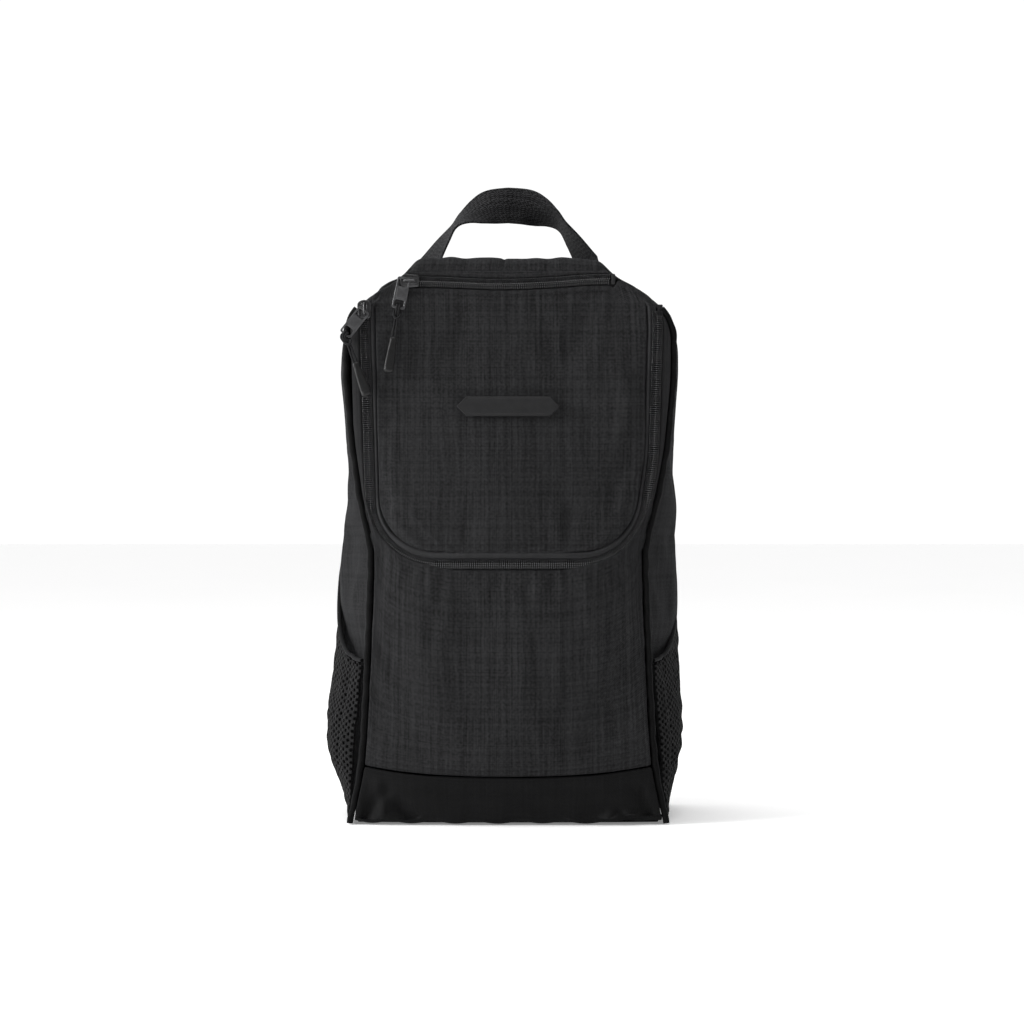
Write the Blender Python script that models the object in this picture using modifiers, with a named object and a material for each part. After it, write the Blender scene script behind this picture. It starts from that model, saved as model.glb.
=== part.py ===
"""Zipped shoe bag: sewn fabric panels, a U-shaped zipped door with a zipped pocket, mesh side pockets and a
webbing handle.

Frame: metres, +Z up, front facing -Y, origin on the floor under the middle of the bag.
Every panel follows one shape, the skin, and sits at a small distance in front of it or behind it.
"""

import math

import bmesh
import bpy
from mathutils import Matrix, Vector

# ---------------------------------------------------------------- driving dimensions
BODY_TOP = 0.376
BACK_Y = 0.0637
FABRIC = 0.0012
BACK_T = 0.0025
BOTTOM_T = 0.0020
TAPE = 0.0006
GAP = 0.0004
COVER_LIFT = FABRIC + 0.0006
COIL_LIFT = 0.0006 + 0.0016
PIPE_R = 0.0021
BAND_SEAM_Z = 0.0315
BAND_SEAM_RISE = 0.007

# Half width of the piped front edge and of the back edge, by height.
FRONT_EDGE = (
    (0.000, 0.1050), (0.045, 0.0970), (0.110, 0.0932), (0.180, 0.0912), (0.200, 0.0950), (0.215, 0.0982),
    (0.230, 0.1005), (0.256, 0.1040), (0.308, 0.1080), (0.322, 0.1080), (0.335, 0.1055), (0.3435, 0.1000),
)
BACK_EDGE = (
    (0.000, 0.1060), (0.030, 0.1120), (0.070, 0.1150), (0.120, 0.1155), (0.165, 0.1150), (0.200, 0.1130),
    (0.235, 0.1090), (0.260, 0.1090), (0.308, 0.1115), (0.322, 0.1110), (0.335, 0.1075), (0.3435, 0.1000),
)
# How far the sides stand out between those two edges.
SIDE_BULGE = (
    (0.000, 0.0015), (0.030, 0.0020), (0.070, 0.0025), (0.120, 0.0035), (0.150, 0.0050), (0.180, 0.0085),
    (0.205, 0.0090), (0.225, 0.0070), (0.245, 0.0040), (0.270, 0.0025), (0.310, 0.0020), (0.3435, 0.0010),
)
# Half width of the curve that the front's crown dies out on.
CROWN_EDGE = (
    (0.000, 0.1030), (0.045, 0.0950), (0.110, 0.0912), (0.180, 0.0890), (0.215, 0.0913), (0.343, 0.0957),
    (0.376, 0.0968),
)
# Height of the top of the bag by distance from the middle: flat, then sloping shoulders.
TOP_LINE = (
    (0.000, 0.3760), (0.040, 0.3760), (0.058, 0.3745), (0.068, 0.3670), (0.077, 0.3605), (0.088, 0.3535),
    (0.094, 0.3495), (0.100, 0.3435),
)
# How far the front edge stands in front of the origin, and how far the middle stands in front of the edge.
EDGE_Y = (
    (0.000, -0.0463), (0.060, -0.0498), (0.130, -0.0513), (0.200, -0.04955), (0.215, -0.0488),
    (0.345, -0.0423), (0.352, -0.0420), (0.376, -0.0418),
)
CROWN = (
    (0.000, 0.0040), (0.050, 0.0090), (0.110, 0.0130), (0.180, 0.0135), (0.230, 0.0110), (0.265, 0.0060),
    (0.295, 0.0025), (0.335, 0.0000), (0.376, 0.0000),
)
CROWN_POWER = 2.6
BEYOND_EDGE_SLOPE = 0.25

# The door zip: two leaning sides, two elliptical corners and a level bottom.
ZIP_TOP_Z = 0.342
ZIP_CORNER_Z = 0.215
ZIP_TOP_X = 0.0955
ZIP_CORNER_X = 0.0913
ZIP_CORNER_A = 0.045
ZIP_CORNER_B = 0.042
ZIP_HALF_GAP = 0.00065
COIL_W = 0.00285
COIL_T = 0.0016
TAPE_W = 0.0095
DOOR_INSET = 0.0074
LOWER_PANEL_INSET = 0.0050

# The pocket zip, level across the top of the door, and the door's fold line just above it.
POCKET_ZIP_Z = 0.3605
POCKET_ZIP_HALF = 0.0690
POCKET_SLOT_Z = 0.3539
FOLD_Z = 0.3663
SHOULDER_SEAM_DROP = 0.002
SHOULDER_STEPS = (0.0032, 0.0030)
DOOR_SHOULDER = ((0.350, 0.0880), (0.351, 0.0868), (0.358, 0.0760), (0.3645, 0.0672), (0.366, 0.0650))

# The mesh side pockets and the inside seams.
HEM_Z_FRONT = 0.108
HEM_RISE = 0.066
POCKET_FOOT_Z = 0.0045
POCKET_BULGE = 0.0125
MESH_T = 0.0018
HEM_R = 0.0014
BINDING_R = 0.0015
BINDING_INSET = 0.0050

# The plain lozenge on the door.
EMBLEM_Z = 0.277
EMBLEM_HALF_W = 0.034
EMBLEM_HALF_H = 0.0065
EMBLEM_NOSE = 0.006
EMBLEM_T = 0.0004

# Sliders and pulls.
SLIDER_L = 0.0125
SLIDER_W = 0.0094
PLATE_T = 0.0012
CHANNEL = 0.00035
WEB_T = 0.0006
BRIDGE_R = 0.0007
BRIDGE_H = 0.0032
BRIDGE_HALF = 0.30
TAB_L = 0.0215
TAB_W = 0.0088
TAB_BAR = 0.0013
EYE_H = 0.0052
WINDOW_H = 0.0048
TAB_T = 0.0010
CORD_R = 0.00075
PULL_CORD_L = 0.0195
PULL_END_L = 0.0245
DOOR_SLIDER_Z = 0.3415
POCKET_SLIDER_X = -0.0655
DOOR_TAB_DIR = (-0.62, -0.06, -0.78)
DOOR_PULL_DIR = (0.34, -0.10, -0.94)
POCKET_TAB_DIR = (-0.20, -0.05, -0.98)
POCKET_PULL_DIR = (-0.14, -0.14, -0.98)

# The webbing handle.
HANDLE_Y = 0.0437
# By share of the way from the middle of the grip to a foot: distance out, height, and turn away from
# flat in degrees.
HANDLE_X = (
    (0.00, 0.0), (0.15, 0.0110), (0.32, 0.0219), (0.50, 0.0310), (0.68, 0.0385), (0.84, 0.0458), (1.00, 0.0545),
)
HANDLE_Z = (
    (0.00, 0.4219), (0.15, 0.4210), (0.32, 0.4176), (0.50, 0.4130), (0.68, 0.4065), (0.84, 0.3965), (1.00, 0.3825),
)
HANDLE_TURN = ((0.00, 0.0), (0.15, 10.0), (0.32, 38.0), (0.50, 64.0), (0.68, 78.0), (0.84, 68.0), (1.00, 50.0))
WEBBING_W = 0.0250
WEBBING_T = 0.0016
HANDLE_FOOT = (0.0150, 0.0030, 0.0043)

BLACK = (0.016, 0.016, 0.017)


# ---------------------------------------------------------------- the skin
def smooth(low, high, value):
    share = min(1.0, max(0.0, (value - low) / (high - low)))
    return share * share * (3 - 2 * share)


def read(table, at):
    """A smooth curve through the table's points that doesn't overshoot between them."""
    if at <= table[0][0]:
        return table[0][1]
    if at >= table[-1][0]:
        return table[-1][1]
    slopes = [(b[1] - a[1]) / (b[0] - a[0]) for a, b in zip(table, table[1:])]
    tangents = [slopes[0]]
    for before, after in zip(slopes, slopes[1:]):
        tangents.append(0.0 if before * after <= 0 else 2 * before * after / (before + after))
    tangents.append(slopes[-1])
    i = max(k for k in range(len(table) - 1) if table[k][0] <= at)
    width = table[i + 1][0] - table[i][0]
    t = (at - table[i][0]) / width
    return (
        (1 + 2 * t) * (1 - t) ** 2 * table[i][1]
        + t * (1 - t) ** 2 * width * tangents[i]
        + t * t * (3 - 2 * t) * table[i + 1][1]
        + t * t * (t - 1) * width * tangents[i + 1]
    )


def skin_y(x, z):
    """Depth of the front's tape plane at a place on the front."""
    edge = read(CROWN_EDGE, z)
    share = min(1.0, abs(x) / edge)
    crown = read(CROWN, z) * (1 - share**CROWN_POWER)
    return read(EDGE_Y, z) - crown + BEYOND_EDGE_SLOPE * max(0.0, abs(x) - edge)


def front_point(x, z, lift=0.0):
    """A point on the front, lift metres in front of the skin."""
    return Vector((x, skin_y(x, z) - lift, z))


def top_z(x):
    return read(TOP_LINE, abs(x))


def band_seam_z(x):
    return BAND_SEAM_Z + BAND_SEAM_RISE * (abs(x) / 0.095) ** 2.5


def piping_y(z):
    return skin_y(read(FRONT_EDGE, z), z)


def zip_line(steps_side=4, steps_corner=7, steps_bottom=4):
    """Stations along the door zip, top left to top right: (x, z, outward x, outward z)."""
    lean = (ZIP_TOP_X - ZIP_CORNER_X) / (ZIP_TOP_Z - ZIP_CORNER_Z)
    corner_x = ZIP_CORNER_X - ZIP_CORNER_A
    right = []
    for i in range(steps_bottom // 2 + 1):
        right.append((corner_x * i / (steps_bottom / 2), ZIP_CORNER_Z - ZIP_CORNER_B, 0.0, -1.0))
    for i in range(1, steps_corner + 1):
        turn = math.pi / 2 * i / steps_corner
        normal = Vector((math.sin(turn) / ZIP_CORNER_A, -math.cos(turn) / ZIP_CORNER_B)).normalized()
        place = (corner_x + ZIP_CORNER_A * math.sin(turn), ZIP_CORNER_Z - ZIP_CORNER_B * math.cos(turn))
        right.append((*place, *normal))
    for i in range(1, steps_side + 1):
        z = ZIP_CORNER_Z + (ZIP_TOP_Z - ZIP_CORNER_Z) * i / steps_side
        side = Vector((1.0, -lean)).normalized()
        right.append((ZIP_CORNER_X + lean * (z - ZIP_CORNER_Z), z, *side))
    left = [(-x, z, -nx, nz) for x, z, nx, nz in reversed(right[1:])]
    return left + right


# ---------------------------------------------------------------- making objects
def clear_scene():
    for item in list(bpy.data.objects):
        bpy.data.objects.remove(item)


def make_material(name, colour, roughness, metallic=0.0):
    made = bpy.data.materials.new(name)
    made.use_nodes = True
    shader = made.node_tree.nodes["Principled BSDF"]
    shader.inputs["Base Color"].default_value = (*colour, 1.0)
    shader.inputs["Roughness"].default_value = roughness
    shader.inputs["Metallic"].default_value = metallic
    return made


def add_object(name, data, surface, collection):
    made = bpy.data.objects.new(name, data)
    made.data.materials.append(surface)
    collection.objects.link(made)
    return made


def grid(name, rows, facing, surface):
    """An open surface through rows of points, its faces turned to look along facing."""
    mesh = bpy.data.meshes.new(name)
    body = bmesh.new()
    made = [[body.verts.new(p) for p in row] for row in rows]
    for low, high in zip(made, made[1:]):
        for i in range(len(low) - 1):
            body.faces.new((low[i], low[i + 1], high[i + 1], high[i]))
    body.normal_update()
    if sum((f.normal * f.calc_area() for f in body.faces), Vector()).dot(Vector(facing)) < 0:
        bmesh.ops.reverse_faces(body, faces=body.faces)
    body.to_mesh(mesh)
    body.free()
    mesh.shade_smooth()
    return add_object(name, mesh, surface, PARTS)


def shell(name, rows, facing, surface, thickness=FABRIC):
    """A sheet whose outer face is the grid and whose thickness lies behind it."""
    made = grid(name, rows, facing, surface)
    skin = made.modifiers.new("thickness", "SOLIDIFY")
    skin.thickness = thickness
    skin.offset = -1.0
    return made


def ribbon(name, stations, inner, outer, lift, surface, thickness):
    """A strip beside a line on the front. inner and outer are distances to the line's outward side.
    Up the straight sides of the door it lies level across, so that a slider can run on it.
    """
    rows = []
    for x, z, nx, nz in stations:
        level = smooth(ZIP_CORNER_Z - 0.015, ZIP_CORNER_Z + 0.005, z)
        row = []
        for side in (inner, outer):
            d = side(x, z) if callable(side) else side
            place = front_point(x + nx * d, z + nz * d, lift)
            place.y += (skin_y(x, z) - lift - place.y) * level
            row.append(place)
        rows.append(row)
    return shell(name, rows, (0, -1, 0), surface, thickness)


def tube(name, points, radius, surface, resolution=2, parent=None):
    """A round bar along a line of points."""
    curve = bpy.data.curves.new(name, "CURVE")
    curve.dimensions = "3D"
    spline = curve.splines.new("POLY")
    spline.points.add(len(points) - 1)
    for point, place in zip(spline.points, points):
        point.co = (*place, 1.0)
    curve.bevel_depth = radius
    curve.bevel_resolution = resolution
    curve.use_fill_caps = True
    made = add_object(name, curve, surface, PARTS)
    made.parent = parent
    return made


def plate(name, outlines, thickness, surface, place, parent=None):
    """A flat sheet cut to outlines (the first is its edge, the rest are holes), extruded evenly both ways."""
    curve = bpy.data.curves.new(name, "CURVE")
    curve.dimensions = "2D"
    curve.fill_mode = "BOTH"
    curve.extrude = thickness / 2
    for outline in outlines:
        spline = curve.splines.new("POLY")
        spline.points.add(len(outline) - 1)
        for point, (u, v) in zip(spline.points, outline):
            point.co = (u, v, 0.0, 1.0)
        spline.use_cyclic_u = True
    made = add_object(name, curve, surface, PARTS)
    made.parent = parent
    made.matrix_basis = place
    return made


def block(size, centre):
    """A box as a bmesh, for joining or cutting."""
    body = bmesh.new()
    bmesh.ops.create_cube(body, size=1.0)
    bmesh.ops.scale(body, vec=size, verts=body.verts)
    bmesh.ops.translate(body, vec=centre, verts=body.verts)
    return body


def block_object(name, size, centre, surface, collection, parent=None):
    mesh = bpy.data.meshes.new(name)
    body = block(size, centre)
    body.to_mesh(mesh)
    body.free()
    made = add_object(name, mesh, surface, collection)
    made.parent = parent
    return made


def cut(target, cutter, operation="DIFFERENCE"):
    cutter.hide_render = True
    cutter.display_type = "WIRE"
    boolean = target.modifiers.new(operation.lower(), "BOOLEAN")
    boolean.operation = operation
    boolean.object = cutter
    boolean.solver = "EXACT"


def upright(x, y, z):
    """Turns a flat outline drawn in (u, v) so that u runs along X and v along Z."""
    return Matrix.Translation((x, y, z)) @ Matrix.Rotation(math.pi / 2, 4, "X")


# ---------------------------------------------------------------- the bag's body
BACK_HEIGHTS = (
    0.0, 0.03, 0.06, 0.10, 0.14, 0.165, 0.19, 0.212, 0.235, 0.257, 0.28, 0.308, 0.322, 0.330, 0.336, 0.340, 0.3435,
)


def back_outline(inset=0.0):
    """The back panel's edge as (x, z), round from the bottom right to the bottom left."""
    side = [(read(BACK_EDGE, z), z) for z in BACK_HEIGHTS]
    top = [(x, top_z(x)) for x in (0.094, 0.088, 0.077, 0.068, 0.063, 0.058, 0.050, 0.040)]
    right = [(x - inset, z - inset * (z > BACK_HEIGHTS[-2])) for x, z in side + top]
    return right + [(-x, z) for x, z in reversed(right)]


def make_back_and_bottom(cloth):
    plate("back_panel", [back_outline()], BACK_T, cloth, upright(0, BACK_Y + BACK_T / 2, 0))
    front = [(x, skin_y(x, 0.0) + GAP) for x in (-0.098, -0.06, -0.02, 0.02, 0.06, 0.098)]
    outline = front + [(0.1010, -0.0428), (0.1045, BACK_Y - GAP), (-0.1045, BACK_Y - GAP), (-0.1010, -0.0428)]
    plate("bottom_panel", [outline], BOTTOM_T, cloth, Matrix.Translation((0, 0, BOTTOM_T / 2)))


def make_front(cloth, band_cloth):
    """The base band, and the lower panel between it and the zip's curve."""
    columns = [i / 10 for i in range(-10, 11)]
    inset = PIPE_R + GAP
    rows = []
    for share in (0.0, 0.35, 0.7, 1.0):
        row = []
        for u in columns:
            seam = band_seam_z(u * 0.095) - 0.0002
            z = seam * share
            row.append(front_point(u * (read(FRONT_EDGE, z) - inset), z, COVER_LIFT))
        rows.append(row)
    shell("base_band", rows, (0, -1, 0), band_cloth)

    def zip_below(x):
        """Height of the lower panel's edge under the zip."""
        corner_x = ZIP_CORNER_X - ZIP_CORNER_A
        a, b = ZIP_CORNER_A + LOWER_PANEL_INSET, ZIP_CORNER_B + LOWER_PANEL_INSET
        over = max(0.0, abs(x) - corner_x) / a
        return ZIP_CORNER_Z - b * math.sqrt(max(0.0, 1 - over * over))

    def top_of(u):
        """Where the column at u meets the edge under the zip, found by stepping towards it."""
        z = 0.18
        for _ in range(40):
            z = 0.5 * z + 0.5 * zip_below(u * (read(FRONT_EDGE, z) - inset))
        return z

    rows = []
    columns = [i / 12 for i in range(-12, 13)]
    for share in (0.0, 0.25, 0.5, 0.75, 0.92, 1.0):
        row = []
        for u in columns:
            low = band_seam_z(u * 0.095) + 0.0002
            z = low + (top_of(u) - low) * share
            row.append(front_point(u * (read(FRONT_EDGE, z) - inset), z, COVER_LIFT))
        rows.append(row)
    shell("front_lower_panel", rows, (0, -1, 0), cloth)


def make_top(cloth):
    """The top panel: it turns back from the door's fold line and runs to the back seam."""
    columns = [-0.099, -0.094, -0.090, -0.086, -0.081, -0.077, -0.072, -0.068, -0.063, -0.058, -0.040, -0.020, 0.0]
    columns += [-x for x in reversed(columns[:-1])]
    rows = [[] for _ in range(8)]
    for x in columns:
        top = top_z(x)
        start = min(FOLD_Z + 0.0003, top - SHOULDER_SEAM_DROP)
        turn_r = top - start
        y = skin_y(x, start) + SHOULDER_STEPS[0] * smooth(0.060, 0.065, abs(x))
        y += SHOULDER_STEPS[1] * smooth(0.083, 0.090, abs(x))
        for i, turn in enumerate((0.0, 30.0, 60.0, 90.0)):
            a = math.radians(turn)
            rows[i].append(Vector((x, y + turn_r * (1 - math.cos(a)), start + turn_r * math.sin(a))))
        for i, share in enumerate((0.25, 0.5, 0.75, 1.0)):
            back = BACK_Y - GAP
            rows[4 + i].append(Vector((x, y + turn_r + (back - y - turn_r) * share, top)))
    shell("top_panel", rows, (0, -0.3, 1), cloth)


def side_surface(z, depth):
    """A point on the right side: depth 0 at the front piping, 1 at the back seam."""
    front = Vector((read(FRONT_EDGE, z), piping_y(z) + PIPE_R + GAP, z))
    back = Vector((read(BACK_EDGE, z), BACK_Y - GAP, z))
    place = front.lerp(back, depth)
    place.x += read(SIDE_BULGE, z) * math.sin(math.pi * depth)
    return place


def hem_z(depth):
    return HEM_Z_FRONT + HEM_RISE * depth**2.2


def mesh_point(depth, share):
    """A point on the right mesh pocket, which is sewn down in front, behind and below and stands off above."""
    z = POCKET_FOOT_Z + (hem_z(depth) - POCKET_FOOT_Z) * share
    base = side_surface(z, depth)
    across = math.sin(math.pi * depth**0.75) ** 0.8
    upward = smooth(-0.02, 0.42, share) * (1 - 0.45 * smooth(0.5, 1.0, share))
    base.x += MESH_T + 0.0006 + POCKET_BULGE * across * upward
    return base


def mirrored(rows):
    return [[Vector((-p.x, p.y, p.z)) for p in row] for row in rows]


def make_sides(cloth, mesh_cloth, binding_cloth, piping_cloth):
    heights = [0.0004, 0.03, 0.07, 0.11, 0.15, 0.18, 0.20, 0.22, 0.25, 0.28, 0.31, 0.325, 0.334, 0.340, 0.3430]
    depths = [0.0, 0.2, 0.4, 0.6, 0.8, 1.0]
    side_rows = [[side_surface(z, d) for d in depths] for z in heights]
    pocket_depths = [0.03, 0.10, 0.2, 0.32, 0.45, 0.6, 0.75, 0.88, 0.97]
    shares = [0.0, 0.08, 0.2, 0.35, 0.55, 0.78, 1.0]
    mesh_rows = [[mesh_point(d, s) for d in pocket_depths] for s in shares]
    hem = [mesh_point(d, 1.0) + Vector((-MESH_T / 2, 0, 0.0028)) for d in pocket_depths]
    pipe = [Vector((read(FRONT_EDGE, z), piping_y(z), z)) for z in heights]
    pipe[0].z = PIPE_R * 0.2
    bind = [Vector((read(FRONT_EDGE, z) - 0.0048, piping_y(z) + 0.0052, z)) for z in heights[1:-1]]
    for side, flip in (("right", False), ("left", True)):
        turn = mirrored if flip else list
        out = (-1, 0, 0) if flip else (1, 0, 0)
        shell(f"side_panel_{side}", turn(side_rows), out, cloth)
        shell(f"mesh_pocket_{side}", turn(mesh_rows), out, mesh_cloth, MESH_T)
        tube(f"mesh_pocket_hem_{side}", turn([hem])[0], HEM_R, binding_cloth, 1)
        tube(f"front_piping_{side}", turn([pipe])[0], PIPE_R, piping_cloth, 1)
        tube(f"front_seam_binding_{side}", turn([bind])[0], BINDING_R, binding_cloth, 0)
    outline = back_outline(BINDING_INSET)[1:-1]
    tube("back_seam_binding", [Vector((x, BACK_Y - 0.0040, z)) for x, z in outline], BINDING_R, binding_cloth, 0)


def outer_reach(x, z):
    """How far the outer tape may run from the zip line before it meets the piping."""
    room = read(FRONT_EDGE, z) - PIPE_R - GAP - abs(x)
    return min(TAPE_W, room) if z > ZIP_CORNER_Z - 0.02 else TAPE_W


def make_door_zip_body_side(tape_cloth, coil_nylon):
    line = zip_line()
    outer_line = [(x, min(z, ZIP_TOP_Z - 0.0035), nx, nz) for x, z, nx, nz in line]
    ribbon("door_zip_tape_outer", outer_line, ZIP_HALF_GAP, outer_reach, 0.0, tape_cloth, TAPE)
    coil_reach = ZIP_HALF_GAP + COIL_W
    ribbon("door_zip_coil_outer", outer_line, ZIP_HALF_GAP, coil_reach, COIL_LIFT, coil_nylon, COIL_T)


# ---------------------------------------------------------------- the door
def door_half_width(z, inset):
    """Half width of the door at a height, inset metres inside the zip line."""
    if z >= DOOR_SHOULDER[0][0]:
        return read(DOOR_SHOULDER, z) - (inset - DOOR_INSET)
    if z >= ZIP_CORNER_Z:
        lean = (ZIP_TOP_X - ZIP_CORNER_X) / (ZIP_TOP_Z - ZIP_CORNER_Z)
        return ZIP_CORNER_X + lean * (min(z, ZIP_TOP_Z) - ZIP_CORNER_Z) - inset
    down = (ZIP_CORNER_Z - z) / (ZIP_CORNER_B - inset)
    a = ZIP_CORNER_A - inset
    return ZIP_CORNER_X - ZIP_CORNER_A + a * math.sqrt(max(0.0, 1 - down * down))


def door_rows(inset, lift, top, columns=12, corner_steps=5):
    b = ZIP_CORNER_B - inset
    heights = [ZIP_CORNER_Z - b * math.cos(math.pi / 2 * i / corner_steps) for i in range(corner_steps)]
    heights += [z for z in (0.215, 0.245, 0.275, 0.300, 0.322, 0.340, 0.350, 0.3545, 0.358, 0.3645) if z < top]
    heights.append(top)
    rows = []
    for z in heights:
        w = door_half_width(z, inset)
        rows.append([front_point(w * (2 * i / columns - 1), z, lift) for i in range(columns + 1)])
    return rows


def make_door(cloth, lining_cloth, tape_cloth, coil_nylon, print_film):
    panel = shell("door_panel", door_rows(DOOR_INSET, COVER_LIFT, 0.3658), (0, -1, 0), cloth)
    slot = 2 * (POCKET_ZIP_HALF + 0.0040)
    height = 0.030
    centre = (0, -0.0423, POCKET_SLOT_Z + height / 2)
    cut(panel, block_object("pocket_slot_cutter", (slot, 0.02, height), centre, cloth, CUTTERS))
    shell("door_lining", door_rows(0.0118, -0.0034, 0.3640), (0, -1, 0), lining_cloth, 0.0008)

    line = [(x, z, -nx, -nz) for x, z, nx, nz in zip_line()]
    coil_reach = ZIP_HALF_GAP + COIL_W
    ribbon("door_zip_tape_inner", line, ZIP_HALF_GAP, TAPE_W, 0.0, tape_cloth, TAPE)
    ribbon("door_zip_coil_inner", line, ZIP_HALF_GAP, coil_reach, COIL_LIFT, coil_nylon, COIL_T)

    level = [(x * POCKET_ZIP_HALF, POCKET_ZIP_Z) for x in (-1.0, -0.5, 0.0, 0.5, 1.0)]
    for name, up, reach in (("lower", -1.0, 0.0078), ("upper", 1.0, 0.0050)):
        stations = [(x, z, 0.0, up) for x, z in level]
        ribbon(f"pocket_zip_tape_{name}", stations, ZIP_HALF_GAP, reach, 0.0, tape_cloth, TAPE)
        stations = [(x * 0.985, z, 0.0, up) for x, z in level]
        ribbon(f"pocket_zip_coil_{name}", stations, ZIP_HALF_GAP, coil_reach, COIL_LIFT, coil_nylon, COIL_T)

    make_emblem(print_film)


def make_emblem(print_film):
    """A plain raised lozenge printed on the door."""
    rows = []
    for share in (-1.0, 0.0, 1.0):
        z = EMBLEM_Z + EMBLEM_HALF_H * share
        w = EMBLEM_HALF_W - EMBLEM_NOSE * abs(share)
        rows.append([front_point(w * (i / 4 - 1), z, COVER_LIFT + GAP + EMBLEM_T) for i in range(9)])
    shell("door_emblem", rows, (0, -1, 0), print_film, EMBLEM_T)


# ---------------------------------------------------------------- handle
def handle_section(side):
    """The strap at side from -1 (left foot) to 1 (right foot): its middle, and its width's direction."""
    reach = abs(side)
    sign = math.copysign(1.0, side)
    x, z = read(HANDLE_X, reach), read(HANDLE_Z, reach)
    lean = math.atan2(read(HANDLE_Z, reach - 0.04) - z, x - read(HANDLE_X, reach - 0.04)) if reach > 0.05 else 0.0
    lean += (math.pi / 2 - lean) * smooth(0.72, 1.0, reach)
    turn = math.radians(read(HANDLE_TURN, reach))
    outward = Vector((sign * math.sin(lean), 0.0, math.cos(lean)))
    width = outward * math.cos(turn) + Vector((0.0, sign * -math.sin(turn), 0.0))
    return Vector((sign * x, HANDLE_Y, z)), width.normalized()


def strap(name, sections, surface):
    rows = []
    for middle, width in sections:
        rows.append([middle + width * WEBBING_W * share for share in (-0.5, -0.17, 0.17, 0.5)])
    made = shell(name, rows, (0, -1, 0), surface, WEBBING_T)
    made.modifiers["thickness"].offset = 0.0
    return made


def make_handle(webbing):
    """The loop that swings, and the two sewn feet that it swings on."""
    steps = 18
    sections = [handle_section(2 * i / steps - 1) for i in range(steps + 1)]
    strap("handle_strap", sections, webbing)
    for side in (-1, 1):
        middle = handle_section(side)[0]
        name = "handle_foot_right" if side > 0 else "handle_foot_left"
        centre = (middle.x, HANDLE_Y, BODY_TOP + GAP + HANDLE_FOOT[2] / 2)
        block_object(name, HANDLE_FOOT, centre, webbing, PARTS)


# ---------------------------------------------------------------- sliders and pulls
def empty_at(name, place, turn):
    made = bpy.data.objects.new(name, None)
    PARTS.objects.link(made)
    made.matrix_basis = Matrix.Translation(place) @ turn.to_4x4()
    return made


def slider(name, frame, surface, full):
    """A zip slider in its own frame: X across the zip, Y along it towards its nose, Z out of the bag.

    full is False for the door's slider, whose under plate reaches only under the door's own row of the zip,
    so that it leaves with the door.
    """
    upper_z = COIL_LIFT + CHANNEL + PLATE_T / 2
    lower_z = -TAPE - CHANNEL - PLATE_T / 2
    height = upper_z - lower_z
    body = block_object(f"{name}_body", (SLIDER_W, SLIDER_L, PLATE_T), (0, 0, upper_z), surface, PARTS, frame)
    round_off = body.modifiers.new("nose", "BEVEL")
    round_off.width = 0.0022
    round_off.segments = 2
    round_off.affect = "EDGES"
    round_off.limit_method = "WEIGHT"
    weights = body.data.attributes.new("bevel_weight_edge", "FLOAT", "EDGE")
    for edge in body.data.edges:
        a, b = (body.data.vertices[v].co for v in edge.vertices)
        if abs(a.z - b.z) > PLATE_T / 2:
            weights.data[edge.index].value = 1.0
    web_size, web_place = (WEB_T, SLIDER_L * 0.5, height), (0, SLIDER_L * 0.2, (upper_z + lower_z) / 2)
    web = block_object(f"{name}_web", web_size, web_place, surface, CUTTERS, frame)
    low_w = SLIDER_W if full else SLIDER_W / 2 + WEB_T / 2
    low_x = 0.0 if full else low_w / 2 - WEB_T / 2
    under = block_object(
        f"{name}_under", (low_w, SLIDER_L * 0.9, PLATE_T), (low_x, 0, lower_z), surface, CUTTERS, frame
    )
    cut(body, web, "UNION")
    cut(body, under, "UNION")
    foot = upper_z + PLATE_T / 2 + GAP + BRIDGE_R
    top = upper_z + PLATE_T / 2 + BRIDGE_H
    half = SLIDER_L * BRIDGE_HALF
    points = [(0, -half, foot - BRIDGE_R), (0, -half, top - 0.0009), (0, -half + 0.0009, top)]
    points += [(0, half - 0.0009, top), (0, half, top - 0.0009), (0, half, foot - BRIDGE_R)]
    tube(f"{name}_bridge", points, BRIDGE_R, surface, 1, frame)
    return upper_z + PLATE_T / 2


def tab_outlines():
    """A pull tab hanging from its top bar, whose middle is the origin, with an eye and the cord's window."""
    half, corner, bar = TAB_W / 2, 0.0014, TAB_BAR / 2
    top, bottom = bar, bar - TAB_L
    edge = [(-half + corner, top), (half - corner, top), (half, top - corner), (half, bottom + corner)]
    edge += [(half - corner, bottom), (-half + corner, bottom), (-half, bottom + corner), (-half, top - corner)]
    inner = half - 0.0012
    holes = []
    for high, low in ((-bar, -bar - EYE_H), (bottom + TAB_BAR + WINDOW_H, bottom + TAB_BAR)):
        holes.append([(-inner, high), (inner, high), (inner, low), (-inner, low)])
    return [edge, *holes]


def pull_end_mesh(name):
    """The moulded grip: a rounded bar, wider and thicker towards its tip."""
    mesh = bpy.data.meshes.new(name)
    body = block((0.0050, 0.0036, PULL_END_L), (0, 0, -PULL_END_L / 2))
    for vertex in body.verts:
        if vertex.co.z < -PULL_END_L / 2:
            vertex.co.x *= 1.32
            vertex.co.y *= 1.15
    body.to_mesh(mesh)
    body.free()
    return mesh


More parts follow.
